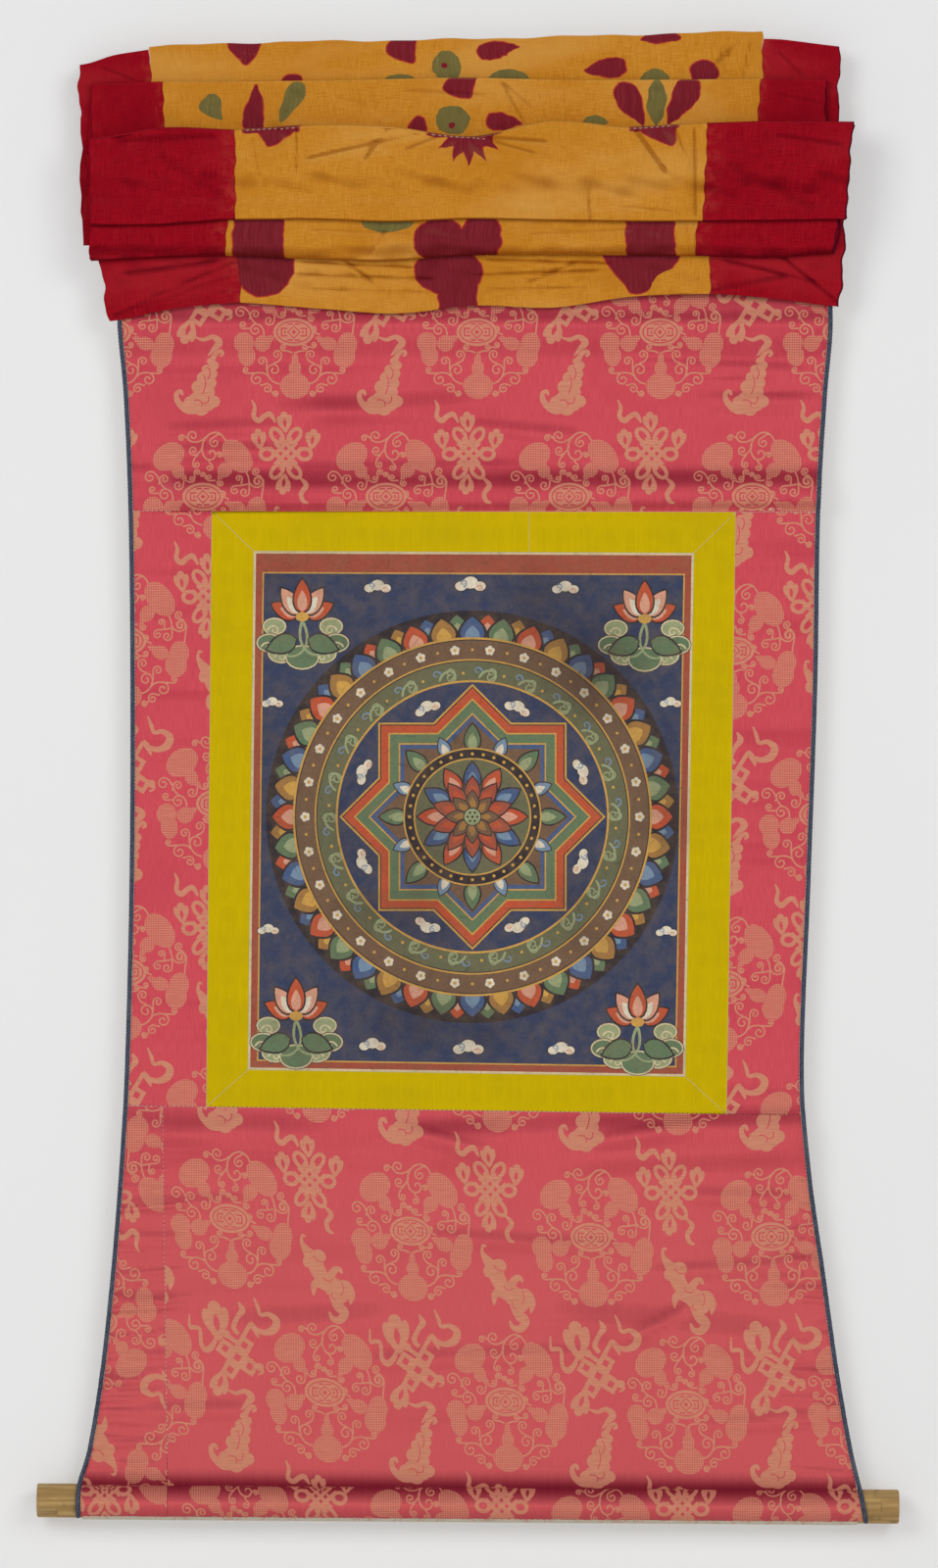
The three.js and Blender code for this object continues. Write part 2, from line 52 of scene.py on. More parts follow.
# %% Silhouette
OUTLINE = np.array([  # height, left and right x at the outer side of the edge cords
    (0, -349.6, 347.5), (-272, -342.0, 351.0), (-340, -336.3, 345.8), (-452, -331.6, 339.2),
    (-623, -329.7, 336.3), (-813, -330.6, 329.7), (-1003, -335.4, 323.2), (-1098, -341.0, 330.6),
    (-1193, -348.7, 343.9), (-1288, -359.1, 357.2), (-1364, -371.5, 370.5), (-1398, -381.0, 378.4),
    (-1435, -382.0, 385.7)])
CORD_RADIUS = 2.0
GAP = 0.3
EDGE_ROOM = 2 * CORD_RADIUS + 2 * GAP
HEAD_EDGE = np.array([-23, -10, -4, 0, 0, 0, -12.0])
CANVAS = dict(tl=(-210.0, -492.1), tr=(216.6, -494.0), bl=(-215.7, -994.7), br=(208.1, -1001.3))
BORDER = dict(tl=(-250.8, -453.2), tr=(257.1, -454.1), bl=(-256.0, -1030.8), br=(248.3, -1037.9))
BORDER_JOIN = 57.0


def smooth(t):
    """0 below 0, 1 above 1, and an even S curve between."""
    t = np.clip(t, 0, 1)
    return t * t * (3 - 2 * t)


def edge_x(side, z):
    """x of the silhouette at height z: cubics through OUTLINE's rows, sloped by their neighbours."""
    zs, xs = OUTLINE[:, 0], OUTLINE[:, 1 if side == "left" else 2]
    before, after = np.r_[0, 0:len(zs) - 1], np.r_[1:len(zs), len(zs) - 1]
    slope = (xs[after] - xs[before]) / (zs[after] - zs[before])
    i = np.clip(np.searchsorted(-zs, -np.asarray(z, float), side="right") - 1, 0, len(zs) - 2)
    span = zs[i + 1] - zs[i]
    t = np.clip((z - zs[i]) / span, 0, 1)
    return (xs[i] * (1 + 2 * t) * (1 - t) ** 2 + slope[i] * span * t * (1 - t) ** 2
            + xs[i + 1] * t * t * (3 - 2 * t) + slope[i + 1] * span * t * t * (t - 1))


def silk_left(z):
    return edge_x("left", z) + EDGE_ROOM


def silk_right(z):
    return edge_x("right", z) - EDGE_ROOM


def through(values, t):
    """A smooth (Catmull-Rom) curve through evenly spaced values, at t from 0 to 1."""
    values = np.asarray(values, float)
    at = np.clip(t, 0, 1) * (len(values) - 1)
    i = np.minimum(at.astype(int), len(values) - 2)
    a, b, c, d = (values[np.clip(i + k, 0, len(values) - 1)] for k in (-1, 0, 1, 2))
    f = at - i
    return b + 0.5 * f * (c - a + f * (2 * a - 5 * b + 4 * c - d + f * (3 * (b - c) + d - a)))


print("silk at the waist:", round(float(silk_left(-700.0))), "to", round(float(silk_right(-700.0))), "mm")

# %% [markdown]
# The folds could be a cloth simulation, but then seams and edges would drift from the solids. Each fold
# is a ridge at one height instead, with its own lean, flanks and ends, and all of them are summed.

# %% Folds and puckers
FOLDS = np.array([  # height, lean, rise, flank above, flank below, half crest, from x, to x
    (-262, 0.0, 3.5, 26, 18, 3, -400, 400), (-352, 0.06, 1.6, 16, 14, 2, -200, 30),
    (-338, -0.04, 1.6, 16, 12, 2, 190, 360), (-438, 0.004, 7.5, 20, 10, 6, -420, 420),
    (-1062, 0.03, 4.5, 18, 40, 4, -90, 420), (-1068, -0.05, 2.2, 20, 34, 3, -400, -120),
    (-1232, -0.1, 2.0, 26, 18, 3, 60, 330), (-1236, 0.05, 1.8, 20, 22, 3, -260, -60)])
CREASES = np.array([  # the same columns, for the small creases that only the cloth shows
    (-279, 0.0, 5.6, 20, 26, 2, -400, 400), (-438, 0.004, -6.4, 20, 10, 6, -420, -268),
    (-300, -0.06, 1.2, 9, 8, 1, 120, 340), (-357, 0.0, 2.2, 17, 12, 1, -205, -65),
    (-363, 0.05, 1.3, 10, 9, 1, -310, -130), (-331, 0.01, 1.4, 8, 11, 1, 200, 345),
    (-345, 0.0, 1.0, 7, 8, 1, 230, 345), (-372, -0.1, 1.3, 10, 9, 1, -60, 120),
    (-397, 0.0, 1.9, 12, 9, 1, -322, -148), (-416, 0.0, 1.6, 8, 8, 1, -390, -280),
    (-412, 0.02, 1.2, 9, 9, 1, -200, 60), (-1058, 0.0, 2.2, 16, 12, 1, -340, -222),
    (-1062, 0.03, -2.6, 18, 40, 4, 5, 135), (-1070, -0.3, 2.0, 9, 14, 1, -100, 45),
    (-1083, 0.159, 2.2, 9, 14, 1, 85, 250), (-1090, 0.05, 1.6, 10, 16, 1, 60, 330),
    (-1112, -0.03, 1.3, 10, 10, 1, 190, 335), (-1120, 0.02, 1.2, 10, 11, 1, -350, -200),
    (-1160, -0.06, 1.2, 10, 12, 1, -60, 160), (-1203, 0.06, 1.3, 9, 12, 1, 160, 350),
    (-1339, 0.54, 1.8, 9, 10, 1, 120, 255), (-1275, 0.03, 1.2, 12, 12, 1, -120, 140),
    (-1318, 0.03, 1.3, 10, 12, 1, -365, -200), (-1352, 0.05, 1.4, 9, 11, 1, 200, 370)])
random = np.random.default_rng(31)
PUCKERS = 40  # short puckers from each side, where the edge yarn draws the silk in
pucker_heights = -np.sort(random.uniform(1085, 1385, 2 * PUCKERS))
pucker_side = np.where(np.arange(2 * PUCKERS) % 2 == 0, -1.0, 1.0)
pucker_ends = np.sort(np.stack([pucker_side * 400, pucker_side * random.uniform(255, 330, 2 * PUCKERS)],
                               1), axis=1)
CREASES = np.r_[CREASES, np.c_[pucker_heights, random.uniform(-0.1, 0.1, 2 * PUCKERS) * -pucker_side,
                               random.uniform(0.5, 1.2, 2 * PUCKERS), random.uniform(3, 7, 2 * PUCKERS),
                               random.uniform(3, 7, 2 * PUCKERS), np.full(2 * PUCKERS, 0.6), pucker_ends]]


def mount_depth(x, z):
    """How far the mount stands forward: each fold is its rise times an S curve on either flank."""
    depth = np.zeros(np.broadcast(x, z).shape)
    for height, lean, rise, above, below, flat, start, end in np.r_[FOLDS, CREASES]:
        t = z - height - lean * x
        flank = np.where(t > 0, (t - flat) / above, (-t - flat) / below)
        fade = 70.0 if rise > 1.3 else 40.0
        ends = smooth((x - start) / fade) * smooth((end - x) / fade)
        depth += rise * (1 - smooth(flank)) * ends
    return depth


def hang(x, z):
    """The hanging surface as points: x, the depth towards -Y, and z."""
    return np.stack([x, -mount_depth(x, z), z], -1)


print("deepest fold:", round(float(mount_depth(np.zeros(900), -np.arange(900.0)).max()), 2), "mm")

# %% [markdown]
# ## The silk's course round the dowel
# The foot panel leaves the hanging surface in a hollow, then lies on the dowel's front down to its raw
# edge. Its flat cut is measured straight down, so the woven figure runs on round the dowel.

# %% Course round the dowel
DOWEL = dict(radius=16.5, length=835.0, x=-2.4, z=-1415.3, slope=-0.0074)
SLEEVE = DOWEL["radius"] + 0.4 + 0.75
START, RAW_EDGE = np.radians(62), np.radians(-50)
HOLLOW = SLEEVE * np.cos(START) / (1 - np.cos(START))


def dowel_height(x):
    return DOWEL["z"] + DOWEL["slope"] * (x - DOWEL["x"])


def leaves_at(x):
    """Height where the silk leaves the hanging surface for the hollow."""
    return dowel_height(x) + (SLEEVE + HOLLOW) * np.sin(START)


def raw_edge_at(x):
    """The raw edge on the flat cut: the hollow's arc and the dowel's arc below the leaving height."""
    fray = (0.5 * np.sin(x / 3.1) + 0.5 * np.sin(x / 11.3)
            + np.sin(x / 0.9 + 1) * (0.5 + 0.5 * np.sin(x / 37)))
    return leaves_at(x) - HOLLOW * START - SLEEVE * (START - RAW_EDGE) + 0.8 * fray


def foot_course(x, w):
    """The flat cut (x, w) laid in place: flat, then an arc of the hollow, then an arc on the dowel."""
    along = leaves_at(x) - w
    turn = np.clip(along / HOLLOW, 0, START)
    angle = START - np.clip(along - HOLLOW * START, 0, None) / SLEEVE
    on_roll = along > HOLLOW * START
    depth = np.where(on_roll, SLEEVE * np.cos(angle), HOLLOW * (1 - np.cos(turn)))
    low = np.where(on_roll, dowel_height(x) + SLEEVE * np.sin(angle), leaves_at(x) - HOLLOW * np.sin(turn))
    flat = along <= 0
    return np.stack([x, -np.where(flat, mount_depth(x, w), depth), np.where(flat, w, low)], -1)


print("silk round the dowel:", round(float(leaves_at(0.0) - raw_edge_at(0.0)), 1), "mm of cloth")

# %% [markdown]
# ## Cutting a cloth with its figure woven in
# A woven or painted figure has no thickness of its own. Instead of laying shapes on top, the cut is
# triangulated with the shapes' outlines as edges, and each triangle remembers the topmost shape that
# it lies in. The flat triangles are then carried onto the surface and given a back and a rim.

# %% Cut a cloth
def turned_left(ring):
    """The ring with its corners counter-clockwise."""
    x, y = ring.T
    area = np.sum(x * np.roll(y, -1) - y * np.roll(x, -1))
    return ring if area > 0 else ring[::-1]


def inside(points, ring):
    """Which points are inside the ring: an odd number of its sides lie to their right."""
    x, y = points.T
    ax, ay = ring.T[:, :, None]
    bx, by = np.roll(ring, -1, 0).T[:, :, None]
    rise = np.where(by == ay, 1e-9, by - ay)
    crosses = ((ay > y) != (by > y)) & (x < ax + (y - ay) / rise * (bx - ax))
    return crosses.sum(0) % 2 == 1


def cut_cloth(ring, shapes, step, rows=None):
    """Flat triangles of the cut, with the shapes inlaid: points, triangles, and each one's tag."""
    low, high = ring.min(0), ring.max(0)
    columns = np.arange(low[0] + step[0], high[0], step[0])
    rows = np.arange(low[1] + step[1], high[1], step[1]) if rows is None else rows
    near = [(turned_left(p), tag) for p, tag in shapes
            if (p.max(0) > low).all() and (p.min(0) < high).all()]
    grid = np.stack(np.meshgrid(columns, rows), -1).reshape(-1, 2)
    rings = [turned_left(ring)] + [p for p, _ in near]
    points = np.concatenate(rings + [grid[inside(grid, ring)]])
    starts = np.cumsum([0] + [len(p) for p in rings])
    loops = [list(range(a, b)) for a, b in zip(starts, starts[1:])]
    made = delaunay_2d_cdt(points.tolist(), [], loops, 1, 1e-3, True)
    top = np.array([max(ids) if ids and min(ids) == 0 else -1 for ids in made[5]])
    triangles = np.array(made[2])[top >= 0]
    tags = np.array([0] + [tag for _, tag in near], float)[top[top >= 0]]
    used, triangles = np.unique(triangles, return_inverse=True)
    return np.array([tuple(p) for p in made[0]])[used], triangles.reshape(-1, 3), tags


print("cutting tools ready")

# %% [markdown]
# A sheet's front and back could come from a Solidify modifier. They are computed here, so that the plain
# back can have larger triangles than the figured front.

# %% Build and lay a sheet
def build_mesh(name, points, faces, flat_faces=None, normals=None):
    """A mesh object from points in millimetres and rows of triangles or quads."""
    mesh = bpy.data.meshes.new(name)
    mesh.from_pydata((points * 0.001).tolist(), [], faces.tolist())
    smooth_faces = np.ones(len(faces), bool) if flat_faces is None else ~flat_faces
    mesh.polygons.foreach_set("use_smooth", smooth_faces)
    if normals is not None:
        mesh.normals_split_custom_set(normals.tolist())
    mesh.update()
    piece = bpy.data.objects.new(name, mesh)
    bpy.context.scene.collection.objects.link(piece)
    return piece


def give(piece, name, values, domain):
    """Stores one number a point or face under a name that a material can read."""
    kind = "FLOAT" if np.ndim(values) == 1 else "FLOAT_COLOR"
    layer = piece.data.attributes.new(name, kind, domain)
    layer.data.foreach_set("value" if kind == "FLOAT" else "color", np.ravel(values).astype(np.float32))


def rim_of(triangles):
    """The cut's outer edge as one loop of point numbers: the sides that only one triangle has."""
    sides = triangles[:, [0, 1, 1, 2, 2, 0]].reshape(-1, 2).tolist()
    seen = set(map(tuple, sides))
    follows = {a: b for a, b in sides if (b, a) not in seen}
    loop = [next(iter(follows))]
    while follows[loop[-1]] != loop[0]:
        loop.append(follows[loop[-1]])
    return np.array(loop)


def facing(lay, u, w, reach):
    """The surface's unit normals, from the chords between points a reach above and below."""
    step = 0.25
    normal = np.cross(lay(u + step, w) - lay(u - step, w), lay(u, w + reach) - lay(u, w - reach))
    return normal / np.linalg.norm(normal, axis=1)[:, None]


def lay_sheet(name, cut, lay, thickness=1.0, plain_back=None, reach=0.25):
    """Carries a cut onto a surface: each flat point goes half the thickness to either side of it.
    A back without the figure is cut again from the same rim, in steps of plain_back. The slope kept
    with each point is the mean of the surface's own and of that felt over the reach."""
    flat, triangles, tags = cut
    rim = rim_of(triangles)
    if plain_back is None:
        back_flat, back_triangles, back_rim = flat, triangles, rim
    else:
        back_flat, back_triangles, _ = cut_cloth(flat[rim], [], plain_back)
        back_edge = rim_of(back_triangles)
        back_rim = back_edge[np.abs(flat[rim][:, None] - back_flat[back_edge]).sum(2).argmin(1)]
    normal, back_normal = facing(lay, *flat.T, 0.25), facing(lay, *back_flat.T, 0.25)
    points = np.concatenate([lay(*flat.T) + normal * thickness / 2,
                             lay(*back_flat.T) - back_normal * thickness / 2])
    a, b = rim, np.roll(rim, -1)
    c, d = len(flat) + back_rim, len(flat) + np.roll(back_rim, -1)
    rim_faces = np.concatenate([np.stack([b, a, c], 1), np.stack([b, c, d], 1)[c != d]])
    faces = np.concatenate([triangles, back_triangles[:, ::-1] + len(flat), rim_faces])
    on_rim = np.arange(len(faces)) >= len(faces) - len(rim_faces)
    shading = np.concatenate([normal[triangles.ravel()], -back_normal[back_triangles[:, ::-1].ravel()],
                              np.zeros((3 * len(rim_faces), 3))])
    piece = build_mesh(name, points, faces, on_rim, shading)
    give(piece, "figure", np.r_[tags, np.zeros(len(faces) - len(tags))], "FACE")
    give(piece, "reverse", np.repeat([0.0, 1.0, 0.0], [len(tags), len(back_triangles), len(rim_faces)]),
         "FACE")
    # The finishes paint shade by this slope: darker colour where the cloth turns away from the light.
    slopes = [(n[:, 2] + facing(lay, *f.T, reach)[:, 2]) / 2
              for n, f in ((normal, flat), (back_normal, back_flat))]
    give(piece, "slope", np.concatenate(slopes), "POINT")
    chart = piece.data.uv_layers.new(name="cut")
    chart.data.foreach_set("uv", np.concatenate([flat, back_flat])[faces.ravel()].ravel() * 0.001)
    return piece


print("sheet tools ready")

# %% [markdown]
# ## The damask's woven figures
# The pink silk has a woven repeat in a paler, matt weft: roundels of five gourds tied to an oval medallion
# by curling vines, and between them loop knots, turned square knots and two flying bats. Each figure is
# a list of flat outlines round its own centre. Tag 1 is figure, 2 is figure with a netted weave, and 0
# gives the ground back, for holes.

# %% Outlines that the figures are drawn with
FIGURE, NET, GROUND = 1, 2, 0


def oval(x, z, half_wide, half_high, turn=0.0, corners=18):
    """An ellipse about (x, z), turned by degrees."""
    t = np.linspace(0, 2 * np.pi, corners, endpoint=False)
    a, b = half_wide * np.cos(t), half_high * np.sin(t)
    c, s = np.cos(np.radians(turn)), np.sin(np.radians(turn))
    return np.stack([x + a * c - b * s, z + a * s + b * c], 1)


def bar(x, z, wide, high, turn=0.0):
    """A rectangle about (x, z), turned by degrees."""
    a, b = np.array([-1, 1, 1, -1]) * wide / 2, np.array([-1, -1, 1, 1]) * high / 2
    c, s = np.cos(np.radians(turn)), np.sin(np.radians(turn))
    return np.stack([x + a * c - b * s, z + a * s + b * c], 1)


def ribbon(path, width):
    """A band along a path: the path moved half the width to either side, out and back."""
    along = np.gradient(path, axis=0)
    along /= np.linalg.norm(along, axis=1)[:, None] + 1e-9
    side = np.stack([-along[:, 1], along[:, 0]], 1) * np.broadcast_to(width, len(path))[:, None] / 2
    return np.concatenate([path + side, (path - side)[::-1]])


def curl_path(x, z, heading, length, bend, wind, steps=20):
    """A path whose heading (degrees) turns by bend along its length, plus wind times length squared."""
    t = np.linspace(0, 1, steps)
    angle = np.radians(heading + bend * t + wind * t * t)
    run = np.stack([np.cos(angle), np.sin(angle)], 1) * length / (steps - 1)
    return np.array([x, z]) + np.cumsum(run, 0) - run[0]


def curl(x, z, heading, length, bend, wind, width, thin=0.55, steps=20):
    """A curling stroke that thins to a share of its width, and ends round."""
    t = np.linspace(0, 1, steps)
    taper = width * (1 - (1 - thin) * t) * np.sqrt(np.clip(np.minimum(t, 1 - t) * 14 + 0.3, 0, 1))
    return ribbon(curl_path(x, z, heading, length, bend, wind, steps), taper)


def leaf_shape(x, z, half_long, half_wide, turn):
    """A pointed leaf: two arcs that meet at its tips."""
    t = np.linspace(-1, 1, 13)
    half = half_wide * (1 - t * t)
    rows = np.concatenate([np.stack([half_long * t, half], 1),
                           np.stack([half_long * t, -half], 1)[-2:0:-1]])
    c, s = np.cos(np.radians(turn)), np.sin(np.radians(turn))
    return np.array([x, z]) + rows @ np.array([[c, s], [-s, c]])


def mirrored(shapes):
    """The shapes and their mirror images across the vertical."""
    return shapes + [(p * np.array([-1, 1]), tag) for p, tag in shapes]


def placed(shapes, x, z, turn=0.0, flip=False):
    """The shapes turned by degrees, optionally mirrored, and moved to (x, z)."""
    c, s = np.cos(np.radians(turn)), np.sin(np.radians(turn))
    rot = np.array([[-1.0 if flip else 1.0, 0], [0, 1]]) @ np.array([[c, s], [-s, c]])
    return [(p @ rot + np.array([x, z]), tag) for p, tag in shapes]


print("outline tools ready")

# %% [markdown]
# The roundel's vines branch from the gourds' stalks and wind up at their ends, and a plain fret fills its
# medallion. Ribbons and bats are brush strokes; knots are bars, loops of cord and buds.

# %% Strokes, vines and buds
def brush(*stops):
    """A brush stroke through stops of (x, z, width): smooth curves, its width flowing along with it."""
    rows = np.array(stops, float)
    t = np.linspace(0, 1, 5 * len(rows) - 4)
    x, z, width = (through(column, t) for column in rows.T)
    return (ribbon(np.stack([x, z], 1), np.maximum(width, 0.6)), FIGURE)


def vine(start, heading, centre, radius, entry, sense, turns=1.15, width=1.6):
    """A vine: a bent stem from a start point to a spiral, which it enters at an angle and winds up in."""
    start, centre = np.array(start, float), np.array(centre, float)
    a = np.radians(entry + sense * 360 * turns * np.linspace(0, 1, 16))
    r = radius * (1 - 0.74 * np.linspace(0, 1, 16))
    spiral = centre + np.stack([r * np.cos(a), r * np.sin(a)], 1)
    reach = np.linalg.norm(spiral[0] - start) / 2.4
    ahead = [np.array([np.cos(np.radians(h)), np.sin(np.radians(h))]) * reach
             for h in (heading, entry + sense * 90)]
    t = np.linspace(0, 1, 9)[:-1, None]
    stem = (start * (1 - t) ** 3 + 3 * (start + ahead[0]) * t * (1 - t) ** 2
            + 3 * (spiral[0] - ahead[1]) * t * t * (1 - t) + spiral[0] * t ** 3)
    path = np.concatenate([stem, spiral])
    thin = width * np.linspace(1, 0.85, len(path))
    return [(ribbon(path, thin), FIGURE), (oval(*path[-1], 1.15, 1.15, corners=8), FIGURE)]


def bud(x, z, size, turn):
    """A bud at a cord's end: three lobes over a pointed foot, with a slit."""
    shapes = [(oval(0, 6.2, 3.7, 4.0, corners=12), FIGURE), (oval(-4.2, 0.6, 2.9, 6.2, 14, 14), FIGURE),
              (oval(4.2, 0.6, 2.9, 6.2, -14, 14), FIGURE), (leaf_shape(0, -3.5, 7, 4.4, 90), FIGURE),
              (leaf_shape(0, -1.2, 4.6, 1.7, 90), GROUND)]
    return placed([(p * size, tag) for p, tag in shapes], x, z, turn)


def ring_loop(x, z, half_wide, half_high, turn, cord=3.7):
    """A loop of cord: an oval with a smaller hole."""
    return [(oval(x, z, half_wide, half_high, turn, 16), FIGURE),
            (oval(x, z, half_wide - cord, max(half_high - cord, 1.3), turn, 10), GROUND)]


print("stroke tools ready")

# %% The roundel
def draw_roundel():
    gourds = [oval(33, 39.5, 18.6, 12.2, -52, 24), oval(21, 26, 8.2, 7.0, 52),
              leaf_shape(17, 20, 6, 3.0, 58), oval(-33.5, 39, 16.6, 12.6, 35, 24),
              oval(-24.5, 25, 6.2, 7.6, 10), leaf_shape(-19, 19, 6, 2.8, -50),
              oval(51.5, -12.5, 9.6, 12.6, -10, 22), oval(48.5, -23, 10.6, 11.6, 0, 22),
              oval(33.5, -11, 8.4, 6.6, -15), leaf_shape(26.5, -7.5, 6.5, 3.2, -25),
              oval(-48.5, -10, 9.8, 10.2, 0, 22), oval(-46, -22, 8.4, 11, 8, 22),
              oval(-30.5, -10.8, 8.2, 7.8, 15), leaf_shape(-24, -7, 6, 3.4, 30),
              oval(1, -52, 14.5, 12.6, 0, 24), oval(1, -35, 6.2, 7.4), leaf_shape(1, -27, 9, 3.2, 90)]
    lower = []
    for row in (((14, -50), 10, (19.5, -36.5), 6.6, -10, 1), ((26.3, -37), 85, (31, -28), 4.6, 180, -1),
                ((20, -30), 170, (16.5, -21.5), 4.6, 190, -1), ((24.5, -43), 50, (36, -45.5), 6.4, 90, -1),
                ((38, -39.5), 0, (46.5, -36.5), 3.2, 270, 1), ((33, -51), 195, (26, -54.5), 4.6, 90, 1),
                ((22, -57), 215, (18, -59), 2.8, 270, -1), ((1.5, -20), 30, (10, -14.5), 3.2, 270, 1)):
        lower += vine(*row)
    upper = []
    for row in (((41, 25), 300, (40, 4.5), 4.8, 0, -1), ((44, 12), 190, (31, 6), 4.4, 90, 1),
                ((38, 11), 130, (34.5, 17.5), 3.4, 0, 1), ((44.6, 14), 300, (53, 14.5), 5.6, 270, 1),
                ((56, 19), 120, (51.5, 24.5), 3.8, 210, -1), ((57, -2), 90, (53, 14.5), 5.6, 0, 1),
                ((25, -3), 120, (19, 3), 3.0, 300, 1), ((12, -15), 20, (19, -12), 3.0, 250, 1),
                ((-29, -3), 90, (-37, 2), 5.8, 70, 1), ((-36, 7.6), 150, (-51.5, 19), 5.8, 60, 1),
                ((-43, 12), 80, (-37.5, 17), 4.6, 180, -1), ((-42.5, 3.5), 180, (-49, 7), 3.6, 270, -1),
                ((-18.5, 17), 270, (-24, 11), 5.0, 0, -1), ((-18, 16.5), 330, (-11, 17), 3.2, 270, 1),
                ((-8.5, 18), 60, (-5.5, 23.5), 3.2, 180, -1), ((12, 15.5), 180, (6, 18.5), 3.2, 270, -1),
                ((3, 17), 140, (-0.5, 21), 2.7, 0, 1), ((15, 18), 280, (17, 13), 3.2, 180, 1),
                ((17, 60.5), 160, (11, 52.5), 5.2, 110, 1), ((5, 59.5), 215, (-10, 59), 5.6, 250, -1),
                ((-14, 56), 120, (-21, 57), 3.3, 40, 1), ((0, 50), 250, (-9.4, 45), 4.6, 290, -1),
                ((-5, 41), 220, (-6.5, 31.5), 3.6, 170, 1), ((5, 35.3), 320, (6, 28.5), 3.6, 60, -1),
                ((12, 41), 30, (16, 40.5), 2.8, 120, -1)):
        upper += vine(*row)
    arch = ((22, 54), (18, 60), (12, 62.5), (5, 60), (0, 53), (-1, 46), (0.5, 40), (4, 36.5), (9, 36.5),
            (12, 40.5), (10, 44.5), (6.5, 44), (6.5, 41.5))
    upper.append(brush(*((x, z, 1.6) for x, z in arch)))
    middle = [(oval(0, 0, 20.0, 13.4, corners=28), FIGURE), (oval(0, 0, 17.2, 10.8, corners=28), GROUND),
              (oval(0, 0, 16.0, 9.7, corners=28), FIGURE), (bar(0, 0, 9.4, 9.4, 45), GROUND),
              (bar(0, 0, 7.4, 7.4, 45), FIGURE), (bar(0, 0, 3.2, 3.2, 45), GROUND)]
    fret = mirrored([(bar(9.4, 3.6, 6.4, 1.3), GROUND), (bar(9.4, -3.6, 6.4, 1.3), GROUND),
                     (bar(12.0, 0, 1.3, 8.5), GROUND), (bar(8.6, 0, 1.3, 3.2), GROUND),
                     (bar(3.6, 7.6, 5.4, 1.3), GROUND), (bar(3.6, -7.6, 5.4, 1.3), GROUND)])
    return mirrored(lower) + upper + [(g, NET) for g in gourds] + middle + fret


print("roundel:", len(draw_roundel()), "outlines")

# %% Two bats
def draw_bat():
    """A bat that dives to the right: one wing up in a curl, one wing folded, and a hooked tail."""
    lines = [curl(-13, 19, 300, 14, 40, 60, 1.0, 0.8), curl(-4, 0, 300, 12, 50, 80, 1.0, 0.8),
             curl(14, -4, 300, 14, -40, -50, 1.0, 0.8), curl(4, -14, 250, 9, 60, 60, 1.0, 0.8)]
    return [brush((-20, 36, 2), (-23, 37, 2.4), (-24, 31, 3.6), (-20, 24, 8), (-13, 15, 14), (-9, 6, 15),
                  (-4, -2, 13), (4, -9, 12)), brush((0, -4, 9), (7, 6, 7), (12, 8, 5), (15, 4, 2)),
            (oval(-8, 18, 7.5, 7.0, corners=12), FIGURE), (oval(-19, 13, 4.5, 5.5, corners=12), FIGURE),
            (oval(6, -9, 10, 9, corners=14), FIGURE), (oval(12, -15, 9, 9, corners=14), FIGURE),
            brush((10, -8, 9), (18, -7, 10), (23, -15, 8), (22, -24, 1.5)),
            brush((0, -9, 10), (-8, -6, 9), (-13, -9, 7), (-14, -18, 1.5)),
            brush((6, -16, 10), (10, -26, 10), (16, -32, 9), (11, -39, 7), (4, -38, 5),
                  (1, -32, 2))] + [(line, GROUND) for line in lines]


def draw_flying_bat():
    """A bat that flies up to the right: its wing tapers in lobes to a curl, and its tail curls back."""
    lobes = ((8, -4, 8.5), (1, 1, 7.5), (11, 5, 7), (5, 10, 6.4), (13, 14, 6), (8.5, 18, 5.2),
             (15.5, 22, 4.8), (12.5, 26, 4.0), (0, -12, 9.5), (8, -14, 9.5), (15, -13, 6.5), (-7, -14, 7),
             (3, -20, 7.5))
    lines = [curl(4, -6, 60, 20, 30, 30, 1.1, 0.8), curl(9, 8, 50, 14, 40, 60, 1.1, 0.8),
             curl(-4, -12, 20, 13, -60, -90, 1.1, 0.8), curl(10, -8, 290, 12, -70, -90, 1.1, 0.8)]
    return [(oval(x, z, r, r * 0.92, corners=12), FIGURE) for x, z, r in lobes] + [
        brush((13, 26, 6), (17, 33, 4.5), (22, 36, 3.5), (24, 33, 3), (21, 31, 2.4)),
        brush((0, -20, 9), (-10, -21, 8), (-19, -14, 6), (-21, -6, 4.5), (-17, -3, 3.5), (-15, -7, 2.6))
        ] + [(line, GROUND) for line in lines]


print("bats:", len(draw_bat()), "and", len(draw_flying_bat()), "outlines")

# %% Two knots
def draw_loop_knot():
    shapes = []
    for x, z, wide, high, turn in ((8.6, 17.4, 9.6, 6.6, 52), (18.2, -0.5, 8.2, 7.0, 0),
                                   (8.4, -17.2, 9.6, 6.6, -52)):
        shapes += mirrored(ring_loop(x, z, wide, high, turn))
    shapes += mirrored(bud(26, 14, 1.0, -8)) + bud(-1, 30.5, 1.0, 6) + bud(-2, -30, 1.0, 172)
    shapes += [(bar(k * 5.0, k * 5.0 * s, 30, 3.9, -45 * s), FIGURE) for s in (1, -1) for k in (-1, 0, 1)]
    shapes += [(bar(x * 5.0, z * 5.0, 2.6, 2.6, 45), GROUND)
               for x, z in ((1, 0), (-1, 0), (0, 1), (0, -1), (2, 1), (-2, 1), (2, -1), (-2, -1))]
    return shapes + [brush((-10, 30, 2), (-15, 38, 5), (-21, 36, 5), (-26, 32, 5.5), (-31, 36, 4.5),
                           (-30, 45, 3.6), (-33, 52, 1.2)),
                     brush((14, -24, 2), (20, -31, 5), (15, -39, 4.5), (17, -46, 4), (22, -48, 1.6))]


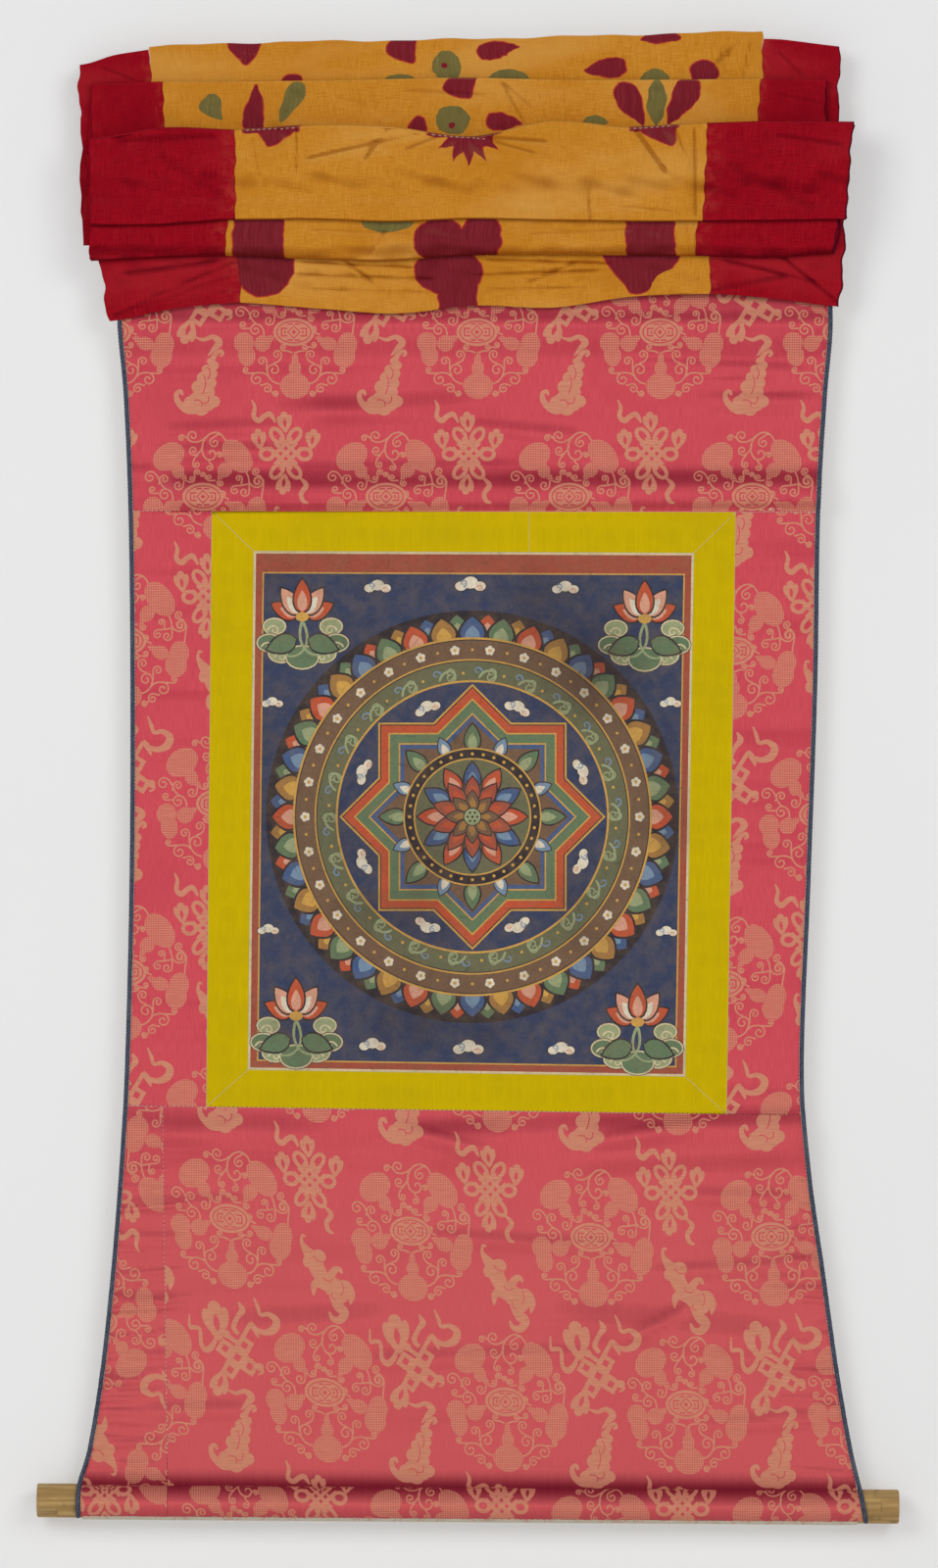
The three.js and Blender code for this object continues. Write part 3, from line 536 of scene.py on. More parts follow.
def draw_square_knot():
    turn, shapes = -32, []
    for x, z in ((0, 15.5), (0, -15.5), (15.5, 0), (-15.5, 0)):
        shapes += [(bar(x, z, 15.4, 15.4), FIGURE), (bar(x, z, 6.4, 6.4), GROUND)]
    shapes += [(bar(k * 5.8, 0, 4.6, 31), FIGURE) for k in (-1, 1)]
    shapes += [(bar(0, k * 5.8, 31, 4.6), FIGURE) for k in (-1, 1)]
    shapes += [(bar(-5.8, 12, 4.6, 54), FIGURE), (bar(-13, 13, 16, 4.6), FIGURE)]
    shapes = placed(shapes, 0, 0, turn)
    shapes += bud(-22, 36, 2.0, 8) + bud(-20, -28, 1.4, 160)
    shapes += [(oval(-11, 23, 4.2, 4.2, corners=10), FIGURE), (oval(24, -8, 4.6, 4.2, corners=10), FIGURE)]
    return shapes + [brush((-21, 22, 2.5), (-26, 11, 5.5), (-33, 5, 6.5), (-39, 10, 4.6), (-40, 25, 4),
                           (-46, 27, 4.6), (-51, 27, 3.6), (-51, 40, 1.4)),
                     brush((22, 30, 5), (31, 28, 6), (41, 32, 8.5), (44, 41, 8), (36, 47, 5), (27, 46, 4),
                           (24, 54, 4), (20, 63, 1.4)), brush((15, 37, 4.6), (20, 31, 6), (24, 22, 2)),
                     brush((2, 24, 4), (-3, 31, 5.5), (2, 42, 5), (7, 49, 7), (3, 57, 1.6)),
                     brush((-12, -34, 1.4), (-3, -37, 4), (7, -34, 5), (14, -40, 8), (8, -47, 5),
                           (2, -54, 1.4)), brush((25, -8, 4), (27, -13, 3), (22, -16, 1.5))]


print("knots:", len(draw_loop_knot()), "and", len(draw_square_knot()), "outlines")

# %% [markdown]
# On the loom one repeat is woven over and over. Here it is copied over each cut in the same way, with the
# small stretch and lean that the cloth has there.

# %% One repeat, laid over a cloth
REPEAT = np.array([177.3, 313.5])
FIGURES = [  # drawing, place in the repeat from a roundel's centre
    (draw_roundel(), (0, 0)), (draw_roundel(), (88, -154)), (draw_loop_knot(), (80, 42)),
    ([(p * 0.9, tag) for p, tag in draw_square_knot()], (3, -128)), (draw_bat(), (94, -47)),
    (draw_flying_bat(), (-5, -208))]

TUCK_PRESSED = 0.95  # the share of a tuck's depth that is lost to view


def damask(lattice, low, high, upside_down=False):
    """The repeat laid over a box of cloth, as a list of shapes. The lattice says how it hangs there:
    a roundel's centre, its stretch across and down, how far it leans sideways a unit down, its tilt and
    bow along x, and how much of it a tuck at the dowel hides. That much is pressed into a thin line."""
    x0, z0, wide, tall, lean, tilt, bow, tuck = lattice
    origin, margin = np.array([x0, z0]), 30.0
    shapes = []
    sign = -1 if upside_down else 1
    for drawing, (dx, dz) in FIGURES:
        at = origin + sign * np.array([dx, dz])
        first = np.floor((low - margin - at) / REPEAT).astype(int)
        last = np.ceil((high + margin - at) / REPEAT).astype(int)
        for i in range(first[0], last[0] + 1):
            for j in range(first[1], last[1] + 1):
                shapes += placed(drawing, *(at + REPEAT * (i, j)), 180 if upside_down else 0)
    hung = []
    for outline, tag in shapes:
        x, z = (outline - origin).T
        across, down = x0 + wide * x + lean * z, z0 + tall * z + tilt * x + bow * x * x
        past = np.clip(leaves_at(across) - HOLLOW * START - down, 0, tuck)
        hung.append((np.stack([across, down + TUCK_PRESSED * past], 1), tag))
    return hung


print("figures in one repeat:", sum(len(d) for d, _ in FIGURES), "outlines")

# %% [markdown]
# ## The damask panels
# Five cuts of damask make the mount: one over the head, one down each side, and one at the foot with
# a narrow strip, its figure upside down, joined along its left. The cuts follow the seams straight and
# the silhouette in a curve, half a gap short of their neighbours.

# %% The panels' edges
HALF_GAP = GAP / 2


def line_height(a, b, x):
    return a[1] + (b[1] - a[1]) * (x - a[0]) / (b[0] - a[0])


def line_across(a, b, z):
    return a[0] + (b[0] - a[0]) * (z - a[1]) / (b[1] - a[1])


def head_seam(x):
    return line_height(BORDER["tl"], BORDER["tr"], x)


def foot_seam(x):
    return line_height(BORDER["bl"], BORDER["br"], x)


GORE_AT, GORE_LEAN = -298.3, 4.8  # where the gore's seam starts, and how far it drifts right


def gore_seam(z):
    top = foot_seam(GORE_AT)
    return GORE_AT + GORE_LEAN * (top - z) / (top - DOWEL["z"])


def panel_ring(left, right, top, bottom, count=480):
    """The cut's outline from its four edges: x against height at the sides, height against x elsewhere."""
    t = np.linspace(0, 1, count)
    corners = {}
    for key, side, end in (("tl", left, top), ("tr", right, top), ("bl", left, bottom),
                           ("br", right, bottom)):
        z = end(0.0)
        for _ in range(6):
            z = end(side(z))
        corners[key] = float(z)
    zl = corners["tl"] + (corners["bl"] - corners["tl"]) * t
    zr = corners["br"] + (corners["tr"] - corners["br"]) * t
    xb = left(corners["bl"]) + (right(corners["br"]) - left(corners["bl"])) * t
    xt = right(corners["tr"]) + (left(corners["tl"]) - right(corners["tr"])) * t
    edges = [(left(zl), zl), (xb, bottom(xb)), (right(zr), zr), (xt, top(xt))]
    return np.concatenate([np.stack(np.broadcast_arrays(x, z), 1)[:-1] for x, z in edges])


def head_edge(x):
    return through(HEAD_EDGE, (x - silk_left(0.0)) / (silk_right(0.0) - silk_left(0.0)))


def course_height(w):
    """Height on the course at the cut's height w, for the silhouette at the roll."""
    return foot_course(np.zeros_like(np.asarray(w, float)), np.asarray(w, float))[..., 2]


print("gore seam at the dowel:", round(float(gore_seam(DOWEL["z"])), 1), "mm")

# %% Cut and lay the panels
cloth = {}


def dress_sheet(piece, node, ring):
    """Attaches a laid sheet to the root, hides the node it stands for, keeps it under that name, and prints
    the flat size of its cut.
    """
    size = ring.max(0) - ring.min(0)
    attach(piece, "root")
    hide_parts(node)
    cloth[node] = piece
    print(node, "cut", np.round(size).astype(int).tolist(), "mm,", len(piece.data.polygons), "faces")


PANEL_STEP, PANEL_BACK_STEP = (9.0, 2.4), (9.0, 3.2)  # largest triangle across and down
# The satin's sheen here is painted: the damask's colour is darkened by the slope.
SATIN_REACH = 8.0  # the satin's sheen follows the slope over this length
PANELS = {  # left, right, top and bottom edge, the figure's lattice, upside down, surface
    "panel_head": (silk_left, silk_right, head_edge, lambda x: head_seam(x) + HALF_GAP,
                   (-259.0, -439.5, 1.0, 1.0, 0.0, 0.0, 0.0, 0.0), False, hang),
    "panel_left": (silk_left, lambda z: line_across(BORDER["tl"], BORDER["bl"], z) - HALF_GAP,
                   lambda x: head_seam(x) - HALF_GAP, lambda x: foot_seam(x) + HALF_GAP,
                   (-334.0, -579.0, 1.0, 1.025, 0.0, 0.0, 0.0, 0.0), False, hang),
    "panel_right": (lambda z: line_across(BORDER["tr"], BORDER["br"], z) + HALF_GAP, silk_right,
                    lambda x: head_seam(x) - HALF_GAP, lambda x: foot_seam(x) + HALF_GAP,
                    (255.0, -588.7, 1.0, 1.03, 0.031, 0.0, 0.0, 0.0), False, hang),
    "panel_foot": (lambda z: gore_seam(z) + HALF_GAP, lambda w: silk_right(course_height(w)),
                   lambda x: foot_seam(x) - HALF_GAP, raw_edge_at,
                   (116.7, -1157.2, 0.987, 1.05, -0.035, -0.015, 1.03e-4, 18.0), False, foot_course),
    "panel_foot_gore": (lambda w: silk_left(course_height(w)), lambda z: gore_seam(z) - HALF_GAP,
                        lambda x: foot_seam(x) - HALF_GAP, raw_edge_at,
                        (-274.0, -1075.0, 1.0, 1.03, 0.0, 0.0, 0.0, 36.0), True, foot_course)}
for name, (left, right, top, bottom, lattice, upside_down, surface) in PANELS.items():
    ring = panel_ring(left, right, top, bottom)
    cut = cut_cloth(ring, damask(lattice, ring.min(0), ring.max(0), upside_down), PANEL_STEP)
    silk = lay_sheet(name + "_silk", cut, surface, plain_back=PANEL_BACK_STEP, reach=SATIN_REACH)
    dress_sheet(silk, name, ring)

# %% [markdown]
# ## The yellow border
# Five strips of plain yellow silk frame the canvas. They meet in mitres at the corners, and the top one
# is pieced from two lengths. Each strip is a four-cornered cut drawn in by half a gap on every side.

# %% Cut and lay the border strips
def drawn_in(corners, by):
    """The polygon with every side moved inwards, each corner where its two moved sides cross."""
    p = turned_left(np.array(corners, float))
    to_next = np.roll(p, -1, 0) - p
    to_next /= np.linalg.norm(to_next, axis=1)[:, None]
    come = np.roll(to_next, 1, 0)
    turn = come[:, 0] * to_next[:, 1] - come[:, 1] * to_next[:, 0]
    return p + (to_next - come) * (by / turn)[:, None]


def with_stops(corners, every):
    """The polygon with extra points along its sides, about so far apart."""
    ends = np.roll(corners, -1, 0)
    counts = [max(2, int(np.linalg.norm(b - a) / every)) for a, b in zip(corners, ends)]
    rows = [a + (b - a) * np.linspace(0, 1, n, endpoint=False)[:, None]
            for a, b, n in zip(corners, ends, counts)]
    return np.concatenate(rows)


join_out = (BORDER_JOIN, head_seam(BORDER_JOIN))
join_in = (BORDER_JOIN, line_height(CANVAS["tl"], CANVAS["tr"], BORDER_JOIN))
STRIP_STEP, STRIP_STOP = (8.0, 4.0), 8  # triangles in a strip, and points along its sides
STRIPS = {
    "border_top_left": [BORDER["tl"], join_out, join_in, CANVAS["tl"]],
    "border_top_right": [join_out, BORDER["tr"], CANVAS["tr"], join_in],
    "border_left": [BORDER["tl"], CANVAS["tl"], CANVAS["bl"], BORDER["bl"]],
    "border_right": [CANVAS["tr"], BORDER["tr"], BORDER["br"], CANVAS["br"]],
    "border_foot": [CANVAS["bl"], CANVAS["br"], BORDER["br"], BORDER["bl"]]}
for name, corners in STRIPS.items():
    ring = with_stops(drawn_in(corners, HALF_GAP), STRIP_STOP)
    strip = lay_sheet(name + "_silk", cut_cloth(ring, [], STRIP_STEP), hang)
    dress_sheet(strip, name, ring)

# %% [markdown]
# ## The canvas
# The canvas carries a generic painting that keeps the scale and the colours: a brick-red frame, a
# night-blue ground, and a round lotus star in rings. Petals, blossoms and scrolls are outlines inlaid in
# the canvas, so each triangle has one paint. Wear and grime come with the finish.

# %% Paints
def dye(red, green, blue):
    """A colour as a dyer would match it on a screen, as the linear light that the renderer takes."""
    c = np.array([red, green, blue]) / 255
    return tuple(np.where(c <= 0.04045, c / 12.92, ((c + 0.055) / 1.055) ** 2.4).tolist()) + (1.0,)


PAINTS = [dye(*c) for c in (
    (220, 202, 160), (166, 80, 62), (54, 65, 94), (212, 162, 78), (100, 124, 92), (50, 44, 50),
    (222, 160, 134), (120, 146, 170), (230, 218, 194), (196, 84, 54), (156, 166, 124), (70, 94, 134),
    (168, 122, 66), (118, 90, 70), (106, 108, 80))]
CREAM, BRICK, NIGHT, GOLD, GREEN, DARK, ROSE, SKY, WHITE, RED, LEAF, BLUE, BROWN, UMBER, MOSS = range(15)
CENTRE = (1.9, -749.6)


print("paints:", len(PAINTS))

# %% Petals, blossoms and clouds
def petal(angle, start, end, half_wide, point=0.75, corners=9):
    """A petal outwards along an angle (degrees): its half width is an arch that ends in a point."""
    t = np.linspace(0, 1, corners)
    half = half_wide * np.sin(np.pi * t ** point) ** 0.8
    out = start + (end - start) * t
    rows = np.concatenate([np.stack([out, half], 1), np.stack([out, -half], 1)[-2:0:-1]])
    c, s = np.cos(np.radians(angle)), np.sin(np.radians(angle))
    return rows @ np.array([[c, s], [-s, c]])


def disc(radius, paint, corners=120):
    return (oval(0, 0, radius, radius, corners=corners), paint)


def petal_ring(count, start, end, half_wide, paints, turn=0.0, point=0.75):
    """A ring of petals, each with a dark outline, a body and a paler heart, in a cycle of paints."""
    shapes = []
    for k in range(count):
        angle = turn + 360 * k / count
        body, heart = paints[k % len(paints)]
        long = end - start
        shapes += [(petal(angle, start, end, half_wide, point), DARK),
                   (petal(angle, start + 0.06 * long, end - 0.07 * long, half_wide * 0.82, point), body),
                   (petal(angle, start + 0.1 * long, end - 0.35 * long, half_wide * 0.5, point), heart)]
    return shapes


def around(count, radius, shapes, turn=0.0):
    """Copies of small shapes in a ring, each turned to stand outwards."""
    spots = [turn + 360 * k / count for k in range(count)]
    return [s for a in spots for s in placed(shapes, radius * np.cos(np.radians(a)),
                                             radius * np.sin(np.radians(a)), a - 90)]


blossom = [(oval(2.7 * np.cos(a), 2.7 * np.sin(a), 2.2, 2.2, corners=8), WHITE)
           for a in np.radians([90, 162, 234, 306, 18])] + [(oval(0, 0, 1.7, 1.7, corners=8), GOLD)]
scroll = [(curl(-13, -7, 70, 40, -60, -330, 2.4), LEAF), (curl(-2, -7, 20, 26, 110, 270, 2.0), LEAF),
          (curl(-10, -1, 110, 16, 60, 240, 1.8), SKY), (oval(11, -2, 1.5, 1.5, corners=8), GOLD)]
cloud = [(oval(x, z, r, r * 0.8, corners=12), p) for p, grow in ((DARK, 1.0), (WHITE, 0))
         for x, z, r in ((-8, 0, 5 + grow), (0, 3, 6.5 + grow), (8, 0, 5 + grow))]
cloud += [(curl(-6, -1, 20, 16, 150, 250, 1.3), SKY), (curl(5, -1, 60, 13, -150, -250, 1.3), ROSE)]


print("petal tools ready")

# %% The lotus star in its rings
medallion = [disc(200, DARK)]
medallion += petal_ring(40, 172, 198, 12.0, [(BROWN, GOLD), (RED, ROSE), (GREEN, LEAF), (BLUE, SKY)], 4.5)
medallion += petal_ring(40, 166, 196, 14.5, [(RED, ROSE), (GREEN, LEAF), (BLUE, SKY), (BROWN, GOLD)])
medallion += [disc(174, GOLD), disc(172, DARK), disc(171, UMBER)]
medallion += around(30, 162, blossom) + around(30, 162, [(oval(0, 0, 1.5, 1.5, corners=8), GOLD)], 6)
medallion += [disc(153, GOLD), disc(151.5, DARK), disc(150.5, MOSS)] + around(22, 141, scroll)
medallion += [disc(132.5, GOLD), disc(130.5, NIGHT)]
medallion += around(8, 113, cloud, 22.5)
for half_diagonal, paint in ((129, GOLD), (126.5, DARK), (125, RED), (115, GOLD), (113, GREEN), (101, GOLD),
                             (99, BLUE), (93, UMBER)):
    medallion += [(bar(0, 0, half_diagonal * 2 ** 0.5, half_diagonal * 2 ** 0.5, turn), paint)
                  for turn in (0, 45)]
medallion += petal_ring(8, 62, 92, 9, [(GREEN, LEAF)]) + petal_ring(8, 62, 84, 7, [(SKY, WHITE)], 22.5)
medallion += [disc(67, GOLD), disc(65.5, DARK)] + around(36, 61, [(oval(0, 0, 1.6, 1.6, corners=8), GOLD)])
medallion += [disc(57, GOLD), disc(55.5, MOSS)]
medallion += petal_ring(12, 24, 55, 9.5, [(RED, ROSE), (BLUE, SKY)])
medallion += petal_ring(10, 12, 41, 8.5, [(BRICK, RED)], 18)
medallion += petal_ring(8, 4, 27, 7, [(UMBER, BROWN)]) + [disc(9, DARK, 24), disc(8, LEAF, 24)]
medallion += around(6, 4.6, [(oval(0, 0, 1.2, 1.2, corners=8), DARK)]) + [disc(1.3, DARK, 8)]
print("medallion:", len(medallion), "outlines")

# %% Lotus sprays on their banks
spray = [(curl(0, -2, 250, 44, 50, 120, 2.2), LEAF), (curl(0, -2, 300, 44, -50, -130, 2.2), LEAF)]
spray += [(petal(a, 4, 30, 8) + np.array([0, -14]), p) for a, p in ((200, DARK), (340, DARK))]
spray += [(petal(a, 5, 28, 6.6) + np.array([0, -14]), p) for a, p in ((200, GREEN), (340, GREEN))]
for angles, paint, heart, reach in (((25, 155), RED, ROSE, 27), ((55, 125), ROSE, WHITE, 29),
                                    ((90,), RED, ROSE, 31)):
    spray += [s for a in angles for s in petal_ring(1, 2, reach, 7.5, [(paint, heart)], a)]
spray += [(oval(0, 1, 5, 3.6, corners=12), GOLD)]

PUFFS = ((-27, 14, 11, LEAF), (28, 14, 11, LEAF), (-32, -2, 12, GREEN), (33, -2, 12, GREEN),
         (-20, -12, 13, LEAF), (20, -12, 13, LEAF), (0, -16, 16, GREEN))
PUFF_CURLS = ((-34, 10, 60, -60, -300), (34, 10, 120, 60, 300), (-40, -6, 60, -60, -300),
              (40, -6, 120, 60, 300), (-27, -16, 60, -60, -300), (27, -16, 120, 60, 300))
bank = [(oval(x, z, r + grow, 0.72 * r + grow, corners=16), p) for x, z, r, tone in PUFFS
        for p, grow in ((DARK, 1.3), (CREAM, 0.6), (tone, -0.8))]
bank += [(curl(x, z, h, 24, b, w, 1.8), CREAM) for x, z, h, b, w in PUFF_CURLS]
print("spray and bank:", len(spray) + len(bank), "outlines")

# %% Paint and lay the canvas
corners = np.array([CANVAS[k] for k in ("tl", "tr", "br", "bl")])
canvas_ring = with_stops(drawn_in(corners, HALF_GAP), 10)
frame_ring = drawn_in(corners, 2.2)
ground = drawn_in(corners, 10.0)
ground[ground[:, 1] > -600, 1] -= 11.5
painted = [(frame_ring, BRICK), (drawn_in(ground, -1.4), GOLD), (ground, NIGHT)]
for x, z, flip in ((-163, -557, False), (169, -559, True), (-169, -944, False), (162, -950, True)):
    painted += placed(bank, x, z - 22, 0, flip)
    painted += placed([(p * 1.3, tag) for p, tag in spray], x, z, 0, flip)
for x, z, grow in ((-90, -528, 1), (0, -526, 1.15), (92, -529, 1), (-95, -972, 1), (-2, -975, 1.15),
                   (88, -976, 1), (-192, -640, 0.8), (194, -640, 0.8), (-196, -860, 0.8),
                   (190, -862, 0.8)):
    painted += placed([(p * grow, tag) for p, tag in cloud], x, z)
painted += placed(medallion, *CENTRE)

CANVAS_STEP = (10.0, 5.0)  # largest triangle across and down
painting = lay_sheet("painting_canvas", cut_cloth(canvas_ring, painted, CANVAS_STEP), hang,
                     plain_back=CANVAS_STEP)
paint_of = np.zeros(len(painting.data.polygons), np.float32)
painting.data.attributes["figure"].data.foreach_get("value", paint_of)
give(painting, "paint", np.array(PAINTS)[paint_of.astype(int)], "FACE")
dress_sheet(painting, "painting", canvas_ring)

# %% [markdown]
# ## The foot lining
# A cream lining backs the foot panel. It goes down the mount's back, round behind the dowel, and comes
# up to meet the silk's raw edge in front, so that silk and lining make the dowel's sleeve.

# %% Lay the lining
BEHIND = -1.8
LINING_RISE = 44.0
LINING_HOLLOW = (SLEEVE * np.cos(START) + BEHIND) / (1 - np.cos(START))
BACK_FROM, BACK_TO = np.pi - START, 2 * np.pi + RAW_EDGE - GAP / SLEEVE


def lining_course(x, w):
    """The lining's cut laid in place, w running down from 0: flat, a hollow arc, then behind the dowel."""
    axis = dowel_height(x)
    leaves = axis + (SLEEVE + LINING_HOLLOW) * np.sin(START)
    along = -w - (axis + LINING_RISE - leaves)
    turn = np.clip(along / LINING_HOLLOW, 0, START)
    angle = BACK_FROM + np.clip(along - LINING_HOLLOW * START, 0, None) / SLEEVE
    round_back = along > LINING_HOLLOW * START
    depth = np.where(round_back, SLEEVE * np.cos(angle), BEHIND - LINING_HOLLOW * (1 - np.cos(turn)))
    low = np.where(round_back, axis + SLEEVE * np.sin(angle), leaves - LINING_HOLLOW * np.sin(turn))
    return np.stack([x, -depth, np.where(along < 0, axis + LINING_RISE + w, low)], -1)


lining_length = (LINING_RISE - (SLEEVE + LINING_HOLLOW) * np.sin(START) + LINING_HOLLOW * START
                 + SLEEVE * (BACK_TO - BACK_FROM))
top_height = DOWEL["z"] + LINING_RISE
lining_left, lining_right = silk_left(top_height) + 2, silk_right(top_height) - 2
LINING_FLARE, LINING_STEP = 9.0, (12.0, 2.5)  # wider below, and its largest triangle
lining_ring = with_stops(np.array([(lining_left, 0), (lining_left - LINING_FLARE, -34),
                                   (lining_left - LINING_FLARE, -lining_length),
                                   (lining_right + LINING_FLARE, -lining_length),
                                   (lining_right + LINING_FLARE, -34), (lining_right, 0)]), 4)
lining = lay_sheet("foot_lining_cloth", cut_cloth(lining_ring, [], LINING_STEP), lining_course)
dress_sheet(lining, "foot_lining", lining_ring)

# %% [markdown]
# ## The edge cords
# Blue yarn is whipped along both sides of the mount. Each cord is a tube along the solid's path whose
# radius dips along a screw line, so that the turns of yarn show.
# A bevelled curve would be quicker, but its surface is smooth.

# %% Whip the edge cords
YARN_PITCH = 3.4
YARN_RADIUS = 2.3  # a little fuller than the solid, to meet the silk
CORD_SIDES = 12


def cord_path(side, inward):
    """Points about 1.1 mm apart down one side of the mount, then round the dowel to the raw edge."""
    x0 = edge_x(side, DOWEL["z"])
    head_end = HEAD_EDGE[0 if side == "left" else -1]
    w = np.arange(head_end, raw_edge_at(x0), -1.1)
    spot = foot_course(np.full_like(w, x0), w)
    flat = w >= leaves_at(x0)
    depth = np.where(flat, mount_depth(edge_x(side, w) + inward * EDGE_ROOM, w), -spot[:, 1])
    along = np.gradient(np.stack([depth, spot[:, 2]], 1), axis=0)
    along /= np.linalg.norm(along, axis=1)[:, None]
    forward = CORD_RADIUS - 0.75
    return np.stack([edge_x(side, spot[:, 2]) + inward * YARN_RADIUS,
                     -(depth - forward * along[:, 1]), spot[:, 2] + forward * along[:, 0]], 1)


def yarn_tube(name, path, radius, sides, pitch, bite=0.2):
    """A closed tube along a path, its radius cut by a share (bite) in a screw groove of the pitch."""
    along = np.gradient(path, axis=0)
    along /= np.linalg.norm(along, axis=1)[:, None]
    out = np.array([1.0, 0, 0]) - along * along[:, :1]
    out /= np.linalg.norm(out, axis=1)[:, None]
    across = np.cross(along, out)
    length = np.r_[0, np.cumsum(np.linalg.norm(np.diff(path, axis=0), axis=1))]
    angle = np.linspace(0, 2 * np.pi, sides, endpoint=False)
    groove = np.abs(np.cos(np.pi * length[:, None] / pitch + angle / 2))
    r = radius * (1 - bite * (1 - groove ** 0.6))
    ring = (path[:, None] + out[:, None] * (r * np.cos(angle))[..., None]
            + across[:, None] * (r * np.sin(angle))[..., None])
    points = np.concatenate([ring.reshape(-1, 3), path[[0, -1]]])
    row, side = np.meshgrid(np.arange(len(path) - 1) * sides, np.arange(sides), indexing="ij")
    nxt = (side + 1) % sides
    quads = np.stack([row + side, row + nxt, row + sides + nxt, row + sides + side], -1).reshape(-1, 4)
    k, head = np.arange(sides), len(path) * sides
    foot_row = head - sides
    caps = np.concatenate([np.stack([np.full(sides, head), (k + 1) % sides, k], 1),
                           np.stack([np.full(sides, head + 1), foot_row + k, foot_row + (k + 1) % sides],
                                    1)])
    triangles = np.concatenate([quads[:, [0, 1, 2]], quads[:, [0, 2, 3]], caps])
    return build_mesh(name, points, triangles)


for side, inward in (("left", 1), ("right", -1)):
    path = cord_path(side, inward)
    cord = yarn_tube("edge_yarn_" + side, path, YARN_RADIUS, CORD_SIDES, YARN_PITCH)
    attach(cord, "root")
    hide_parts("edge_cord_" + side)
    cloth["edge_cord_" + side] = cord
    long = np.linalg.norm(np.diff(path, axis=0), axis=1).sum()
    print("edge_cord_" + side, round(long), "mm long,", len(cord.data.polygons), "faces")

# %% [markdown]
# ## The veil
# A thin silk veil, three cloths wide, covers the painting when it is let down. Here it is pleated up
# under the head edge. One pleated section is carried across each cloth: nine legs, joined by narrow
# turns, as in the solids. Small crumples and the gathers at the tacks are added to the legs' depth.

# %% The veil's pleated section
VEIL_DEPTHS = np.array([6, 9.5, 13, 16, 35, 31.5, 28, 24.5, 21, 21.0])
VEIL_X = np.array([  # each turn's left end, left seam, right seam and right end
    (-379, -310.7, 283, 358), (-376, -304, 282, 356), (-366.7, -298.3, 280, 343.9),
    (-363.9, -292.6, 275.5, 344.9), (-366.7, -227, 229, 370.5), (-366.7, -227, 224.2, 362),
    (-368.6, -231.8, 220.4, 357.2), (-367.7, -236.6, 217.6, 352.5), (-370.5, -228, 231.8, 364.5),
    (-349.6, -222.3, 231.8, 358.0)])
VEIL_HEIGHTS = {  # each turn's heights across the cloth
    "left": [(-20.9, -11.4, -5.7), [-196] * 3, (-39.9, -39, -38), [-143.5] * 3, (-94, -83.6, -85.5),
             (-178.6, -177.7, -172.9), [-108.3] * 3, (-211.9, -209, -207.1), [-138.7] * 3,
             (-269.8, -257.5, -251.8)],
    "centre": [(-3.3, 0, 2.2, 4.2, 6.2, 8.3, 11.9), [-196] * 7,
               (-38, -37.5, -36.1, -34.2, -36.1, -36.1, -35.2), [-143.5] * 7,
               (-85.5, -80.8, -82.7, -92.2, -77, -82.7, -78.9),
               (-172.9, -172.4, -174.8, -172, -173.4, -174.4, -174.4), [-108.3] * 7,
               (-207.1, -210, -211.9, -207.1, -206.2, -206.6, -207.1), [-138.7] * 7,
               (-251.8, -257.5, -262.2, -254.6, -256.5, -246.1, -243.2)],
    "right": [(4.7, 1.9, -3.8), [-196] * 3, (-35.2, -35.4, -36.1), [-143.5] * 3, (-78.9, -77, -77.9),
              (-174.4, -173.9, -172.9), [-108.3] * 3, (-207.1, -209, -205.2), [-138.7] * 3,
              (-243.2, -248, -255.6)]}
VEIL_CLOTHS = {"left": (0, 1, 0, HALF_GAP), "centre": (1, 2, HALF_GAP, HALF_GAP),
               "right": (2, 3, HALF_GAP, 0)}
LEGS = 9
TACKS = np.array([(-192, -80), (-9.5, -88), (178, -79)])  # where the front pleat is caught up
half_step = np.abs(np.diff(VEIL_DEPTHS)) / 2
TURN_HIGH = np.r_[0, np.minimum(2.5, half_step[:LEGS - 1]), 0]
mean_height = np.array([np.mean(row) for row in VEIL_HEIGHTS["centre"]])
LEG_LONG = np.abs(np.diff(mean_height)) - TURN_HIGH[:-1] - TURN_HIGH[1:]
TURN_LONG = np.pi * np.sqrt((half_step[:LEGS - 1] ** 2 + TURN_HIGH[1:-1] ** 2) / 2)
LEG_FROM = np.r_[0, np.cumsum(LEG_LONG[:-1] + TURN_LONG)]
VEIL_LONG = float(LEG_FROM[-1] + LEG_LONG[-1])
print("veil's flat length:", round(VEIL_LONG), "mm")

# %% [markdown]
# Thin silk keeps the marks of each time it was gathered up. Ripples and creases could be a bump in the
# finish, but a bump leaves outlines and shadows straight, so they move the cloth itself.

# %% Creases and crumples
def ripple(x, z, seed, waves, size):
    """A sum of sine waves in seeded directions, for crumples: about -1 to 1, with the given wave size."""
    rng = np.random.default_rng(seed)
    total = np.zeros(np.broadcast(x, z).shape)
    for angle, grow, phase in zip(rng.uniform(0, np.pi, waves), rng.uniform(0.6, 1.8, waves),
                                  rng.uniform(0, 2 * np.pi, waves)):
        total += np.sin((x * np.cos(angle) + z * np.sin(angle)) * 2 * np.pi / (size * grow) + phase)
    return total / np.sqrt(waves)


